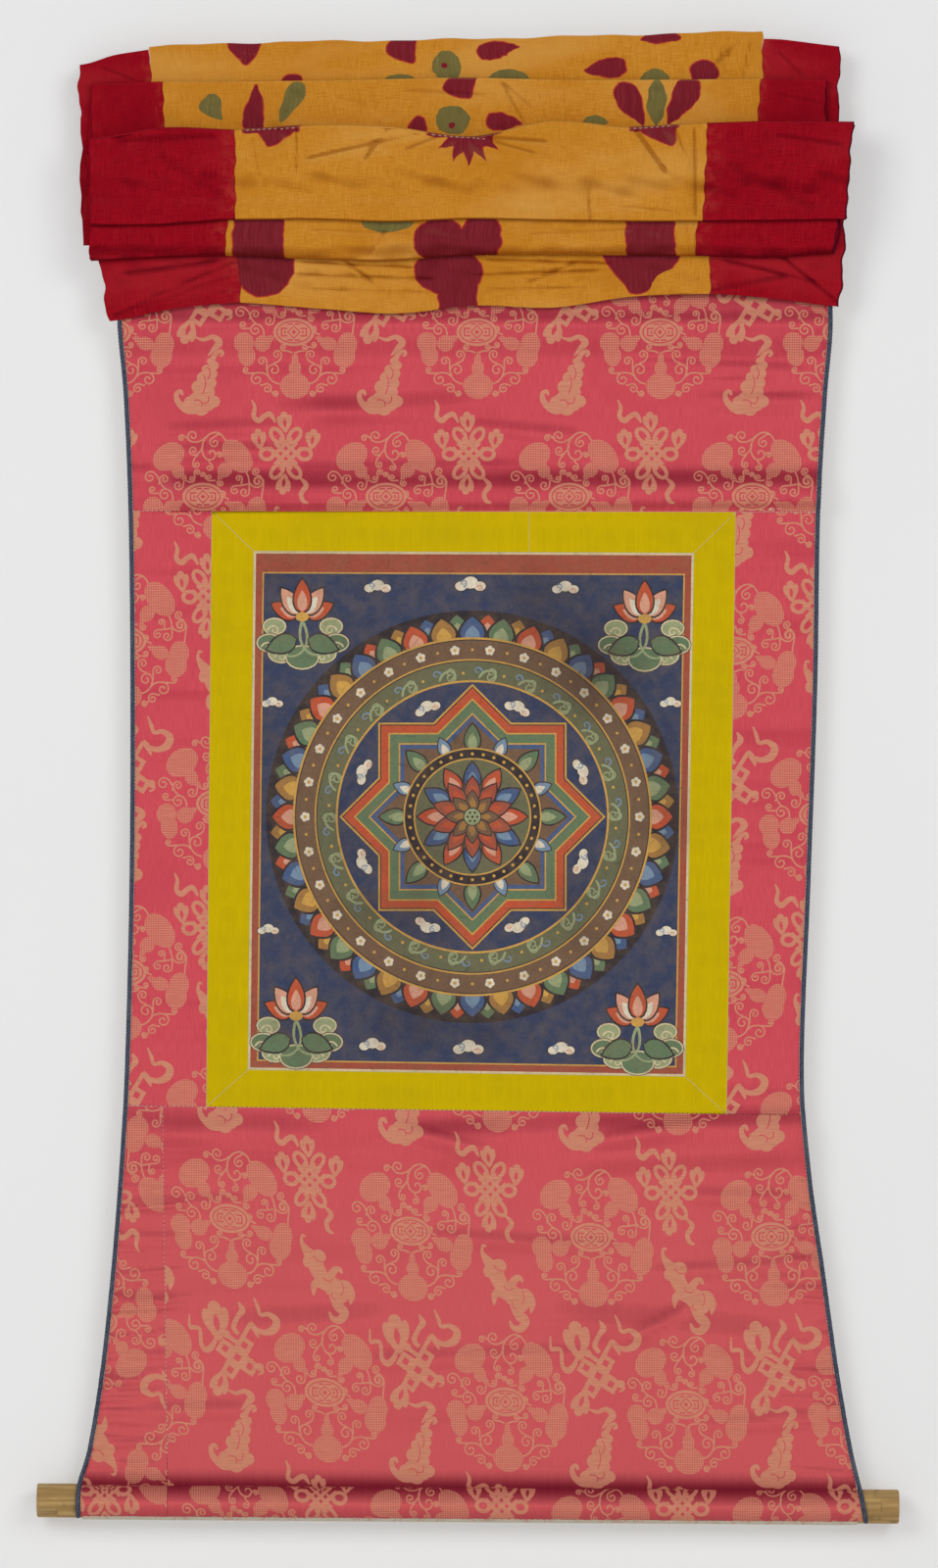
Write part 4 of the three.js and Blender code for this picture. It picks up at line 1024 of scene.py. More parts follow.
VEIL_CREASES = np.array([  # leg, one end (x, z), other end (x, z), depth, width
    (4, 158, -84, 186, -124, 2.2, 2.6), (4, 216, -88, 217, -166, 1.4, 2.6),
    (4, 209, -92, 210, -164, -1.2, 3.0), (4, 19, -93, 70, -97, 1.4, 2.6),
    (4, 114, -152, 115, -174, 1.2, 2.2), (4, -28, -84, -154, -113, 1.5, 2.4),
    (4, -79, -84, -98, -110, 1.3, 2.2), (4, -168, -84, -168, -122, 1.2, 1.8),
    (4, -120, -96, -60, -90, -1.0, 3.5), (4, 40, -86, 130, -84, -1.2, 4.0),
    (4, -300, -110, -240, -150, 0.7, 9.0), (4, 250, -120, 330, -160, 0.8, 9.0),
    (8, -160, -214, -60, -219, 0.9, 1.9), (8, -165, -226, -40, -230, 0.9, 2.1),
    (8, -150, -240, -30, -243, 0.7, 1.9), (8, 20, -212, 130, -215, 0.9, 1.9),
    (8, 10, -226, 120, -222, 0.9, 2.0), (8, 15, -240, 110, -238, 0.7, 1.8),
    (8, 298, -206, 356, -252, 1.2, 2.0), (8, 250, -214, 330, -232, 0.7, 2.5),
    (8, -343, -262, -232, -216, 0.8, 2.2), (8, -343, -264, -236, -229, 0.7, 2.2),
    (8, -340, -266, -240, -243, 0.6, 2.0), (8, -330, -225, -250, -214, 1.0, 3.0),
    (2, 30, -38, 51, -76, 1.1, 2.6), (2, -60, -46, 10, -50, 0.9, 3.0), (2, 90, -50, 92, -78, 0.7, 2.4),
    (0, 244, -4, 239, -30, 1.0, 2.4), (0, 270, -2, 264, -32, 1.0, 2.4), (0, 150, -14, 110, -18, 0.7, 3.0),
    (0, -355, -24, -330, -34, 0.9, 3.0), (6, -150, -182, -60, -186, 0.8, 2.6),
    (6, 60, -186, 150, -182, 0.8, 2.6), (6, -96, -205, -84, -186, 0.8, 2.0),
    (4, -30, -92, -60, -104, 1.4, 2.0), (4, 24, -98, 60, -108, 1.2, 2.2),
    (4, 150, -160, 190, -164, 0.9, 2.4), (4, -210, -96, -204, -128, 0.8, 2.0),
    (4, -100, -112, -96, -104, 0.9, 1.6), (4, 196, -80, 207, -110, 1.2, 2.2),
    (0, 252, 4, 247, -24, 1.0, 2.0), (0, 236, -20, 262, 2, 0.8, 2.2), (2, 36, -42, 58, -62, 0.9, 2.0),
    (2, 66, -50, 74, -78, 0.7, 2.0), (0, -36, -14, -40, -36, 0.8, 2.0),
    (2, -130, -52, -104, -60, 0.7, 2.6), (8, -130, -206, -96, -232, 0.9, 2.4),
    (8, 60, -232, 96, -216, 0.9, 2.2), (8, 236, -240, 300, -228, 1.0, 3.0),
    (6, 209, -178, 211, -207, 0.9, 1.8), (6, 216, -178, 217, -207, 0.8, 1.6),
    (4, 300, -92, 356, -100, 1.0, 4.0), (4, -340, -96, -250, -92, 1.0, 5.0),
    (2, 300, -50, 338, -58, 0.8, 3.0), (0, 300, -10, 320, -30, 0.9, 3.0)])


def crease(x, z, row):
    """A trough along a line: a bell curve of the distance to the line, fading beyond its two ends."""
    _, x0, z0, x1, z1, deep, wide = row
    long = np.hypot(x1 - x0, z1 - z0)
    along = ((x - x0) * (x1 - x0) + (z - z0) * (z1 - z0)) / long
    off = ((z - z0) * (x1 - x0) - (x - x0) * (z1 - z0)) / long
    beyond = np.maximum(np.maximum(-along, along - long), 0)
    return -deep * np.exp(-(off / wide) ** 2 - (beyond / 6) ** 2)


def creases(x, z, leg):
    return sum(np.where(leg == row[0], crease(x, z, row), 0) for row in VEIL_CREASES)

DENT_AT, DENT_DEEP = -150, 4.4  # height and depth of the dent across the front leg
BELLY_AT, BELLY_DEEP = -198, 3.4  # and of the belly in the leg below it
HEM_FROM, HEM_FALL, HEM_BACK = -172, 90, 10.5  # the hem leans back to the mount below this height


def crumple(x, z, leg, t):
    """Depth added to a leg: ripples, creases, drag lines from the tacks, and a dent across the front."""
    free = np.sin(np.pi * np.clip(t, 0, 1)) ** 0.5
    add = 0.55 * ripple(x, 0.7 * z, 5, 7, 46) + 0.3 * ripple(0.6 * x, z, 8, 6, 22) + creases(x, z, leg)
    front = np.zeros_like(add)
    for tx, tz in TACKS:
        dx, dz = x - tx, z - tz
        far, angle = np.hypot(dx, dz) + 1e-6, np.arctan2(dx, -dz)
        front += 1.5 * np.cos(7 * angle + tx) * smooth(far / 16) * np.exp(-far / 48)
    below_dent = z - DENT_AT + 3 * np.sin(x / 140) + np.sin(x / 51)
    front += 0.7 * ripple(x, 0.35 * z, 12, 6, 70)
    front -= DENT_DEEP * np.exp(-(below_dent / np.where(below_dent > 0, 20, 11)) ** 2)
    belly = BELLY_DEEP * np.exp(-((z - BELLY_AT + 2 * np.sin(x / 41)) / 11) ** 2)
    return (add + np.where(leg == 4, front, 0) + np.where(leg == 6, belly, 0)) * free


print("veil creases:", len(VEIL_CREASES))

# %% The lay of one veil cloth
def veil_cloth(part):
    """The lay of one cloth: a function from its flat cut (u across, w down from 0) to points in place."""
    a, b, left_gap, right_gap = VEIL_CLOTHS[part]
    low_x, high_x = VEIL_X[:, a] + left_gap, VEIL_X[:, b] - right_gap
    width = float(np.mean(high_x - low_x))

    def lay(u, w):
        f = u / width
        heights = np.stack([through(row, f) for row in VEIL_HEIGHTS[part]])
        free_end = {"left": 1 - f, "centre": 0 * f, "right": f}[part]
        xs = low_x[:, None] + (high_x - low_x)[:, None] * f
        leg = np.clip(np.searchsorted(LEG_FROM, -w, side="right") - 1, 0, LEGS - 1)
        cols = np.arange(len(f))
        t = (-w - LEG_FROM[leg]) / LEG_LONG[leg]
        towards = np.where(leg % 2 == 0, 1.0, -1.0)
        ends = heights[leg + 1, cols] + towards * TURN_HIGH[leg + 1]
        starts = heights[leg, cols] - towards * TURN_HIGH[leg]
        turn = np.pi * np.clip((-w - LEG_FROM[leg] - LEG_LONG[leg]) / np.r_[TURN_LONG, 1][leg], 0, 1)
        x = xs[leg, cols] + (xs[leg + 1, cols] - xs[leg, cols]) * np.clip(t, 0, 1)
        z = np.where(t <= 1, starts + (ends - starts) * np.clip(t, 0, 1),
                     heights[leg + 1, cols] + towards * TURN_HIGH[leg + 1] * (1 - np.sin(turn)))
        depth = VEIL_DEPTHS[leg] + (VEIL_DEPTHS[leg + 1] - VEIL_DEPTHS[leg]) * (1 - np.cos(turn)) / 2
        depth = depth + np.where(leg == 4, 4 * np.sin(np.pi * np.clip(t, 0, 1)) ** 2, 0)
        x = x + 1.6 * free_end ** 4 * np.sin(z / 9.0 + leg) * np.sin(z / 23.0)
        x = x + 0.6 * np.sin(z / 6.3 + 1.7 * leg) + 0.5 * np.sin(z / 2.9 + leg)
        z = z + np.where(leg == 0, 0.9 * ripple(x, 0 * x, 21, 4, 70) * (1 - smooth(5 * t)), 0)
        depth = depth + crumple(x, z, leg, t) - HEM_BACK * smooth((HEM_FROM - z) / HEM_FALL)
        return np.stack([x, -depth, z], -1)

    def flatten(leg, points):
        """The cut's (u, w) of points (x, z) seen on a leg, by a few rounds of settling."""
        x, z = points.T
        t = np.full(len(x), 0.5)
        towards = 1.0 if leg % 2 == 0 else -1.0
        for _ in range(6):
            left, right = (s[leg] + (s[leg + 1] - s[leg]) * t for s in (low_x, high_x))
            f = (x - left) / (right - left)
            start = through(VEIL_HEIGHTS[part][leg], f) - towards * TURN_HIGH[leg]
            end = through(VEIL_HEIGHTS[part][leg + 1], f) + towards * TURN_HIGH[leg + 1]
            t = (z - start) / (end - start)
        return np.stack([f * width, -(LEG_FROM[leg] + t * LEG_LONG[leg])], 1)

    def hollow(u, w):
        """How deep in a crease each point of the cut lies, from 0 to about 1."""
        leg = np.clip(np.searchsorted(LEG_FROM, -w, side="right") - 1, 0, LEGS - 1)
        x, _, z = lay(u, w).T
        return np.clip(-creases(x, z, leg), 0, 1.5) / 1.5

    return lay, flatten, hollow, width


print("legs:", np.round(LEG_LONG).astype(int).tolist(), "mm")

# %% [markdown]
# The centre cloth is printed with maroon and olive petals, discs, a starburst and hearts, cut off where
# the pleats hide them. Each print is a flat outline on the leg that shows it.

# %% Outlines of the prints
MAROON, OLIVE, FRINGE = 1, 2, 3


def burst(x, z, outer, inner, points):
    """A many-pointed star."""
    a = np.linspace(0, 2 * np.pi, 2 * points, endpoint=False)
    r = np.where(np.arange(2 * points) % 2 == 0, outer, inner)
    return np.stack([x + r * np.sin(a), z - r * np.cos(a)], 1)


def by_hand(ring, seed):
    """The outline as a brush would leave it: more points, each moved a little by ripples."""
    fine = with_stops(turned_left(ring), 2.4)
    x, z = fine.T
    return fine + 0.55 * np.stack([ripple(x, z, seed, 4, 11), ripple(z, x, seed + 90, 4, 11)], 1)


def grown(ring, by):
    """The outline moved outwards from its own middle, for the dye that bleeds beyond a print."""
    out = ring - ring.mean(0)
    return ring + out / np.linalg.norm(out, axis=1)[:, None] * by


def drop(x, z, half_wide, half_high, turn):
    """A drop that points down before it is turned by degrees: an oval drawn in towards its lower end."""
    t = np.linspace(0, 2 * np.pi, 20, endpoint=False)
    wide, high = half_wide * np.sin(t) * (0.68 + 0.4 * np.cos(t)), half_high * np.cos(t)
    c, s = np.cos(np.radians(turn)), np.sin(np.radians(turn))
    return np.stack([x + wide * c - high * s, z + wide * s + high * c], 1)


PRINTS = [  # the leg that shows it, its outline, its dye
    (0, drop(-218, -6, 20, 15, 4), MAROON), (0, drop(-64, -6, 19, 15, 36), MAROON),
    (0, drop(27, -6, 11, 20, 100), MAROON), (0, drop(130, -25, 12, 21, -84), MAROON),
    (0, oval(226, -28, 13.5, 11), MAROON), (0, oval(-173, -36, 9.5, 5), MAROON),
    (0, oval(184, 5, 19, 5), MAROON), (0, oval(-23, -23, 14, 15), OLIVE),
    (0, oval(-25, -22, 3.0, 3.0), MAROON), (0, oval(-69.5, -38, 16.6, 8), OLIVE),
    (0, leaf_shape(36, -34, 21, 9, 0), OLIVE), (0, oval(178, -36, 14.3, 11), OLIVE),
    (2, drop(-249, -64, 14, 14, 35), OLIVE), (2, drop(-209, -66, 13, 25, 176), MAROON),
    (2, drop(-174, -58, 12.5, 22, -28), OLIVE), (2, drop(-8, -42, 22, 13, 30), MAROON),
    (2, oval(-17, -75, 17, 14), OLIVE), (2, oval(-18, -80, 3.0, 3.0), MAROON),
    (2, drop(-52, -81, 11, 9, -70), MAROON), (2, drop(33, -77, 11, 17, 85), MAROON),
    (2, drop(156, -60, 15, 23, 32), MAROON), (2, leaf_shape(180, -57, 25, 9.5, 90), OLIVE),
    (2, drop(204, -57, 16, 25, -30), MAROON), (2, leaf_shape(121, -77, 13, 7, 0), OLIVE),
    (4, drop(-188, -79, 31, 24, -16), MAROON), (4, burst(-2, -88, 33, 19, 12), MAROON),
    (4, drop(183, -80, 26, 25, 30), MAROON), (4, bar(-192, -85, 54, 8, 2), MAROON),
    (4, bar(-10, -91, 62, 8, -6), MAROON), (4, bar(178, -82, 46, 8, 6), MAROON),
    (6, bar(-205, -192, 48, 50), MAROON), (6, oval(-81, -172, 27, 13), OLIVE),
    (6, oval(-30, -192, 24, 21), MAROON), (6, oval(10, -190, 20, 23), MAROON),
    (6, bar(-10, -206, 50, 20), MAROON), (6, bar(174, -192, 46, 50, 4), MAROON),
    (6, bar(-233, -192, 5, 50), 0), (8, oval(-201, -211, 31, 35), MAROON),
    (8, oval(-21, -222, 33, 22), MAROON), (8, bar(-12, -250, 36, 30), MAROON),
    (8, drop(164, -208, 54, 36, -6), MAROON), (8, oval(206, -240, 33, 22), 0)]
print("prints:", len(PRINTS), "outlines")

# %% Print and lay the veil
LEG_ROWS = [np.r_[np.linspace(0, 0.3, 28), np.linspace(0.38, 1, 8)], np.linspace(0, 1, 7),
            np.r_[np.linspace(0, 0.55, 26), np.linspace(0.64, 1, 6)], np.linspace(0, 1, 6),
            np.linspace(0, 1, 42), np.linspace(0, 1, 7),
            np.r_[np.linspace(0, 0.52, 6), np.linspace(0.56, 1, 22)], np.linspace(0, 1, 7),
            np.r_[np.linspace(0, 0.4, 6), np.linspace(0.43, 1, 36)]]
rows = [LEG_FROM[k] + LEG_LONG[k] * t for k, t in enumerate(LEG_ROWS)]
rows += [LEG_FROM[k] + LEG_LONG[k] + TURN_LONG[k] * np.linspace(0, 1, 8)[1:-1] for k in range(LEGS - 1)]
veil_rows = -np.sort(np.concatenate(rows))

veil = {}
for part, node, slot, wide in (("left", "veil_end_left", "veil_crimson", 3.0),
                               ("centre", "veil_centre", "veil_ochre", 3.0),
                               ("right", "veil_end_right", "veil_crimson", 3.0)):
    lay, flatten, hollow, width = veil_cloth(part)
    across = np.linspace(0, width, int(width / wide) + 1)
    ring = np.concatenate([np.stack([np.zeros_like(veil_rows), veil_rows], 1),
                           np.stack([across[1:-1], np.full(len(across) - 2, veil_rows[-1])], 1),
                           np.stack([np.full_like(veil_rows, width), veil_rows[::-1]], 1),
                           np.stack([across[-2:0:-1], np.zeros(len(across) - 2)], 1)])
    drawn = [(leg, by_hand(outline, k), tag) for k, (leg, outline, tag) in enumerate(PRINTS)]
    bled = [(leg, grown(outline, 1.3), FRINGE) for leg, outline, tag in drawn if tag == MAROON]
    printed = bled + drawn if part == "centre" else []
    prints = [(flatten(leg, outline), tag) for leg, outline, tag in printed]
    cut = cut_cloth(ring, prints, (wide, 2.0), rows=veil_rows[1:-1])
    veil[part] = lay_sheet(node + "_silk", cut, lay, 0.5)
    give(veil[part], "hollow", np.tile(hollow(*cut[0].T), 2), "POINT")
    dress_sheet(veil[part], node, ring)
    veil[part + "_lay"], veil[part + "_flatten"], veil[part + "_width"] = lay, flatten, width * 0.001

# %% [markdown]
# ## Stitches
# White running stitches tack the front pleat in three places, and the mount's seams are sewn with small
# stitches. Each stitch is a short rounded thread that lies on its cloth, all of one sewing in one mesh.
# A painted row of dashes would look flat where the cloth turns.

# %% Threads and stitches
def thread_mesh(name, starts, ends, radius, lift):
    """Short threads from starts to ends: six-sided spindles, bowed off the cloth by lift (a vector)."""
    t = np.linspace(0, 1, 5)
    sides = 6
    along = ends - starts
    along_unit = along / np.linalg.norm(along, axis=1)[:, None]
    out = lift / np.linalg.norm(lift, axis=1)[:, None]
    across = np.cross(along_unit, out)
    middle = starts[:, None] + along[:, None] * t[:, None] + lift[:, None] * np.sin(np.pi * t)[:, None]
    r = radius * np.sqrt(np.clip(1 - (2 * t - 1) ** 4, 0.06, 1))
    angle = np.linspace(0, 2 * np.pi, sides, endpoint=False)
    ring = (middle[:, :, None] + out[:, None, None] * (r[:, None] * np.cos(angle))[None, ..., None]
            + across[:, None, None] * (r[:, None] * np.sin(angle))[None, ..., None])
    count, rings = len(starts), len(t)
    base = np.arange(count)[:, None, None] * rings * sides
    row, side = np.arange(rings - 1)[:, None] * sides, np.arange(sides)
    nxt = (side + 1) % sides
    a, b, c, d = (base + row + side, base + row + nxt, base + row + sides + nxt, base + row + sides + side)
    quads = np.stack(np.broadcast_arrays(a, d, c, b), -1).reshape(-1, 4)
    k = np.arange(1, sides - 1)
    first = np.stack(np.broadcast_arrays(base[:, 0], base[:, 0] + k, base[:, 0] + k + 1), -1)
    last = base[:, 0] + (rings - 1) * sides
    final = np.stack(np.broadcast_arrays(last, last + k + 1, last + k), -1)
    triangles = np.concatenate([quads[:, [0, 1, 2]], quads[:, [0, 2, 3]],
                                first.reshape(-1, 3), final.reshape(-1, 3)])
    return build_mesh(name, ring.reshape(-1, 3), triangles)


def sew(name, path, lay, stitch, space, radius, slot, slope=0.0):
    """Stitches along a flat path on a laid cloth, each a stitch long and a space apart."""
    gaps = np.r_[0, np.cumsum(np.linalg.norm(np.diff(path, axis=0), axis=1))]
    at = np.arange(space / 2, gaps[-1] - stitch, stitch + space)
    lean = np.array([0, slope])
    begin, finish = (np.stack([np.interp(at + d, gaps, path[:, k]) for k in (0, 1)], 1) + d * lean
                     for d in (0.0, stitch))
    p, q = lay(*begin.T), lay(*finish.T)
    mid = (begin + finish) / 2
    normal = np.cross(lay(mid[:, 0] + 0.3, mid[:, 1]) - lay(*mid.T),
                      lay(mid[:, 0], mid[:, 1] + 0.3) - lay(*mid.T))
    normal /= np.linalg.norm(normal, axis=1)[:, None]
    piece = thread_mesh(name, p + normal * 0.55, q + normal * 0.55, radius, normal * 0.25)
    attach(piece, "root")
    print(name, len(at), "stitches")
    return piece


def straight(a, b, count=30):
    return np.array(a) + (np.array(b) - np.array(a)) * np.linspace(0, 1, count)[:, None]


print("stitch tools ready")

# %% Tack the veil
TACK_STITCH = (3.2, 2.8, 0.42)  # length, gap and thickness
stitches = []
for k, (x0, x1, z0, z1) in enumerate(((-217, -168, -86.4, -84.6), (-38, 18, -91.0, -95.4),
                                      (157, 199, -85.2, -81.6))):
    flat_path = veil["centre_flatten"](4, straight((x0, z0), (x1, z1)))
    stitches.append(sew(f"tack_stitches_{k + 1}", flat_path, veil["centre_lay"], *TACK_STITCH, "lining"))

# %% Loose threads at the raw edge
RAW_THREADS = 60
thread_x = random.uniform(-360, 362, RAW_THREADS)
thread_end = np.stack([thread_x + random.uniform(-6, 6, RAW_THREADS),
                       raw_edge_at(thread_x) - random.uniform(3, 9, RAW_THREADS)], 1)
thread_from = foot_course(thread_x, raw_edge_at(thread_x) + 1)
thread_out = facing(foot_course, thread_x, raw_edge_at(thread_x), 0.25)
raw_threads = thread_mesh("raw_edge_threads", thread_from + thread_out * 0.6,
                          foot_course(*thread_end.T) + thread_out * 0.8, 0.3, thread_out * 0.8)
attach(raw_threads, "root")
print("raw edge:", RAW_THREADS, "threads")

# %% Sew the seams
SEAM_STITCH = (1.8, 2.6, 0.28)
SEAM_SLOPE = 0.35  # how far a seam's stitches lie askew
gore_heights = np.linspace(-1036, -1395, 60)
seam_rows = {"seam_head_left": (straight((-326, head_seam(-326)), (-252, head_seam(-252))), hang),
             "seam_head_right": (straight((258, head_seam(258)), (333, head_seam(333))), hang),
             "seam_foot_left": (straight((-331, foot_seam(-331)), (-257, foot_seam(-257))), hang),
             "seam_foot_right": (straight((249, foot_seam(249)), (320, foot_seam(320))), hang),
             "seam_border_foot": (straight((-254, foot_seam(-254)), (247, foot_seam(247)), 80), hang),
             "seam_gore": (np.stack([gore_seam(gore_heights), gore_heights], 1), foot_course)}
seams = [sew(name, path, lay, *SEAM_STITCH, "damask", SEAM_SLOPE)
         for name, (path, lay) in seam_rows.items()]

# %% [markdown]
# ## Finishes
# Every cloth has its own weave: fine streaks along and across its cut. Satin darkens where it turns away
# from the light, so the damask's colour carries painted shade by the slope kept with each point; the border
# and the veils carry painted shade by it too, and the veils a painted highlight where they face up. The
# cloths' backs are plain cream lining. The paint is worn and grimy, the yarn is wool, and the dowel is bare
# wood, darkened by hands.

# %% Tools for writing finishes
class Finish:
    """One material as a few calls: each makes a node, joins its inputs, and gives back an output."""

    def __init__(self, name, roughness=0.6, **constants):
        self.material = bpy.data.materials.new(name)
        self.material.use_nodes = True
        self.tree = self.material.node_tree
        self.shader = self.tree.nodes["Principled BSDF"]
        self.shader.inputs["Roughness"].default_value = roughness
        for key, value in constants.items():
            self.shader.inputs[key.replace("_", " ")].default_value = value

    def node(self, kind, inputs, out=0, **settings):
        made = self.tree.nodes.new("ShaderNode" + kind)
        for key, value in settings.items():
            setattr(made, key, value)
        for key, value in inputs.items():
            self.join(value, made.inputs[key])
        return made.outputs[out]

    def join(self, value, socket):
        if isinstance(value, bpy.types.NodeSocket):
            self.tree.links.new(value, socket)
        elif value is not None:
            socket.default_value = value

    def chart(self):
        return self.node("UVMap", {}, uv_map="cut")

    def space(self):
        return self.node("TexCoord", {}, out="Object")

    def mark(self, name, out="Fac"):
        return self.node("Attribute", {}, out=out, attribute_name=name)

    def stretch(self, vector, scale):
        return self.node("Mapping", {"Vector": vector, "Scale": scale})

    def noise(self, vector, scale, detail=3.0, roughness=0.55):
        return self.node("TexNoise",
                         {"Vector": vector, "Scale": scale, "Detail": detail, "Roughness": roughness})

    def math(self, operation, a, b=None):
        return self.node("Math", {0: a} if b is None else {0: a, 1: b}, operation=operation)

    def between(self, value, low, high, to_low=0.0, to_high=1.0):
        return self.node("MapRange", {"Value": value, "From Min": low, "From Max": high, "To Min": to_low,
                                      "To Max": to_high}, interpolation_type="SMOOTHSTEP")

    def blend(self, share, a, b, how="MIX"):
        return self.node("MixRGB", {"Fac": share, "Color1": a, "Color2": b}, blend_type=how)

    def weave(self, vector, fine, long):
        """Threads both ways: noise drawn out along the warp, and along the weft."""
        warp = self.noise(self.stretch(vector, (fine, long, 1)), 1.0, 2.0)
        weft = self.noise(self.stretch(vector, (long, fine, 1)), 1.0, 2.0)
        return warp, weft

    def end(self, colour, roughness=None, bump=None, strength=0.2, distance=0.0006):
        self.join(colour, self.shader.inputs["Base Color"])
        self.join(roughness, self.shader.inputs["Roughness"])
        if bump is not None:
            height = self.node("Bump", {"Height": bump, "Strength": strength, "Distance": distance})
            self.join(height, self.shader.inputs["Normal"])
        return self.material


print("finish tools ready")

# %% [markdown]
# Damask shows its figure by the way light meets warp and weft. The figure, the net in the gourds and the
# slope are read from the sheet's own attributes, so that the weave follows the cloth round the dowel. The
# slope also paints shade: the ground goes deep crimson and the figure duller where the cloth turns.

# %% Silk damask
NET_PITCH = 2 * np.pi / 0.0046  # waves a metre of the gourds' netted weave, both ways across


def damask_finish():
    f = Finish("pink_damask", 0.4, Specular_IOR_Level=0.25, Specular_Tint=(1.0, 0.45, 0.5, 1.0))
    cut = f.chart()
    warp, weft = f.weave(cut, 1400, 60)
    figure = f.mark("figure")
    shape = f.between(figure, 0.3, 0.7)
    net = f.between(figure, 1.3, 1.7)
    parts = f.tree.nodes.new("ShaderNodeSeparateXYZ")
    f.join(cut, parts.inputs[0])
    a = f.math("SINE", f.math("MULTIPLY", f.math("ADD", parts.outputs[0], parts.outputs[1]), NET_PITCH))
    b = f.math("SINE", f.math("MULTIPLY", f.math("SUBTRACT", parts.outputs[0], parts.outputs[1]),
                              NET_PITCH))
    holes = f.between(f.math("MULTIPLY", a, b), -0.05, 0.4)
    shape = f.math("SUBTRACT", shape, f.math("MULTIPLY", f.math("MULTIPLY", net, holes), 0.95))
    # Painted shade: the slope, with ragged noise at its edge, sets how far the satin goes dark where the
    # cloth turns.
    slope = f.mark("slope")
    lean = f.math("MAXIMUM", slope, f.math("MULTIPLY", slope, -0.24))
    ragged = f.math("MULTIPLY", f.math("SUBTRACT", f.noise(f.stretch(cut, (300, 12, 1)), 1.0, 3.0), 0.5),
                    0.16)
    lean = f.math("ADD", lean, f.math("MULTIPLY", ragged, f.between(lean, 0.0, 0.12)))
    turned = f.math("POWER", f.node("MapRange", {"Value": lean, "From Min": 0.02, "From Max": 0.95}), 0.66)
    soft = f.noise(cut, 9.0, 5.0)
    band = f.noise(f.stretch(cut, (2.5, 26, 1)), 1.0, 3.0)
    ground = f.blend(f.between(warp, 0.3, 0.75), dye(200, 66, 79), dye(213, 80, 91))
    ground = f.blend(f.between(soft, 0.4, 0.72, 0.0, 0.4), ground, dye(190, 58, 74))
    ground = f.blend(f.between(band, 0.52, 0.72, 0.0, 0.45), ground, dye(176, 42, 64))
    ground = f.blend(f.between(parts.outputs[1], -0.95, -1.2, 0.05, 0.45), ground, dye(206, 100, 95))
    # Painted shade on the ground and, more faintly, on the figure.
    ground = f.blend(turned, ground, dye(106, 4, 36))
    pale = f.blend(f.between(weft, 0.3, 0.7), dye(196, 122, 98), dye(210, 142, 114))
    pale = f.blend(f.math("MULTIPLY", turned, 0.4), pale, dye(150, 66, 66))
    colour = f.blend(shape, ground, pale)
    back = f.blend(f.between(warp, 0.3, 0.7), dye(196, 186, 166), dye(212, 203, 184))
    colour = f.blend(f.mark("reverse"), colour, back)
    rough = f.math("ADD", f.between(shape, 0, 1, 0.38, 0.6), f.math("MULTIPLY", f.mark("reverse"), 0.3))
    height = f.math("ADD", f.math("MULTIPLY", weft, 0.5),
                    f.math("ADD", shape, f.math("MULTIPLY", warp, 0.4)))
    return f.end(colour, rough, height, 0.2, 0.0004)


print("damask finish ready")

# %% Border silk, and both laid on
def border_finish():
    f = Finish("yellow_silk", 0.55, Specular_IOR_Level=0.15, Specular_Tint=(1.0, 0.85, 0.2, 1.0))
    cut = f.chart()
    warp, weft = f.weave(cut, 1000, 30)
    flower = f.node("TexVoronoi", {"Vector": cut, "Scale": 46.0, "Randomness": 0.25}, feature="F1")
    spot = f.between(f.math("ADD", flower, f.math("MULTIPLY", f.noise(cut, 240.0, 3.0), 0.35)), 0.62, 0.45)
    soft = f.noise(cut, 14.0, 5.0)
    colour = f.blend(f.between(warp, 0.3, 0.7), dye(197, 168, 0), dye(205, 177, 3))
    colour = f.blend(f.math("MULTIPLY", spot, 0.22), colour, dye(184, 160, 2))
    colour = f.blend(f.between(soft, 0.45, 0.75, 0, 0.5), colour, dye(186, 160, 8))
    # Painted shade: the yellow goes darker where the strip tilts, by the slope kept with each point.
    colour = f.blend(f.between(f.math("ABSOLUTE", f.mark("slope")), 0.08, 0.5), colour, dye(140, 116, 0))
    colour = f.blend(f.mark("reverse"), colour, dye(204, 194, 172))
    height = f.math("ADD", weft, f.math("ADD", warp, f.math("MULTIPLY", spot, 0.6)))
    return f.end(colour, None, height, 0.2, 0.0004)


damask_silk, yellow_silk = damask_finish(), border_finish()
for name, piece in cloth.items():
    if name.startswith("panel"):
        piece.data.materials.append(damask_silk)
    elif name.startswith("border"):
        piece.data.materials.append(yellow_silk)
print("damask and border silk on", sum(n.startswith(("panel", "border")) for n in cloth), "pieces")

# %% [markdown]
# The paint is thin, matt and rubbed. Each triangle brings its own paint, and noise adds grime, rubbing and
# one stain, which painted textures would fix to one size.

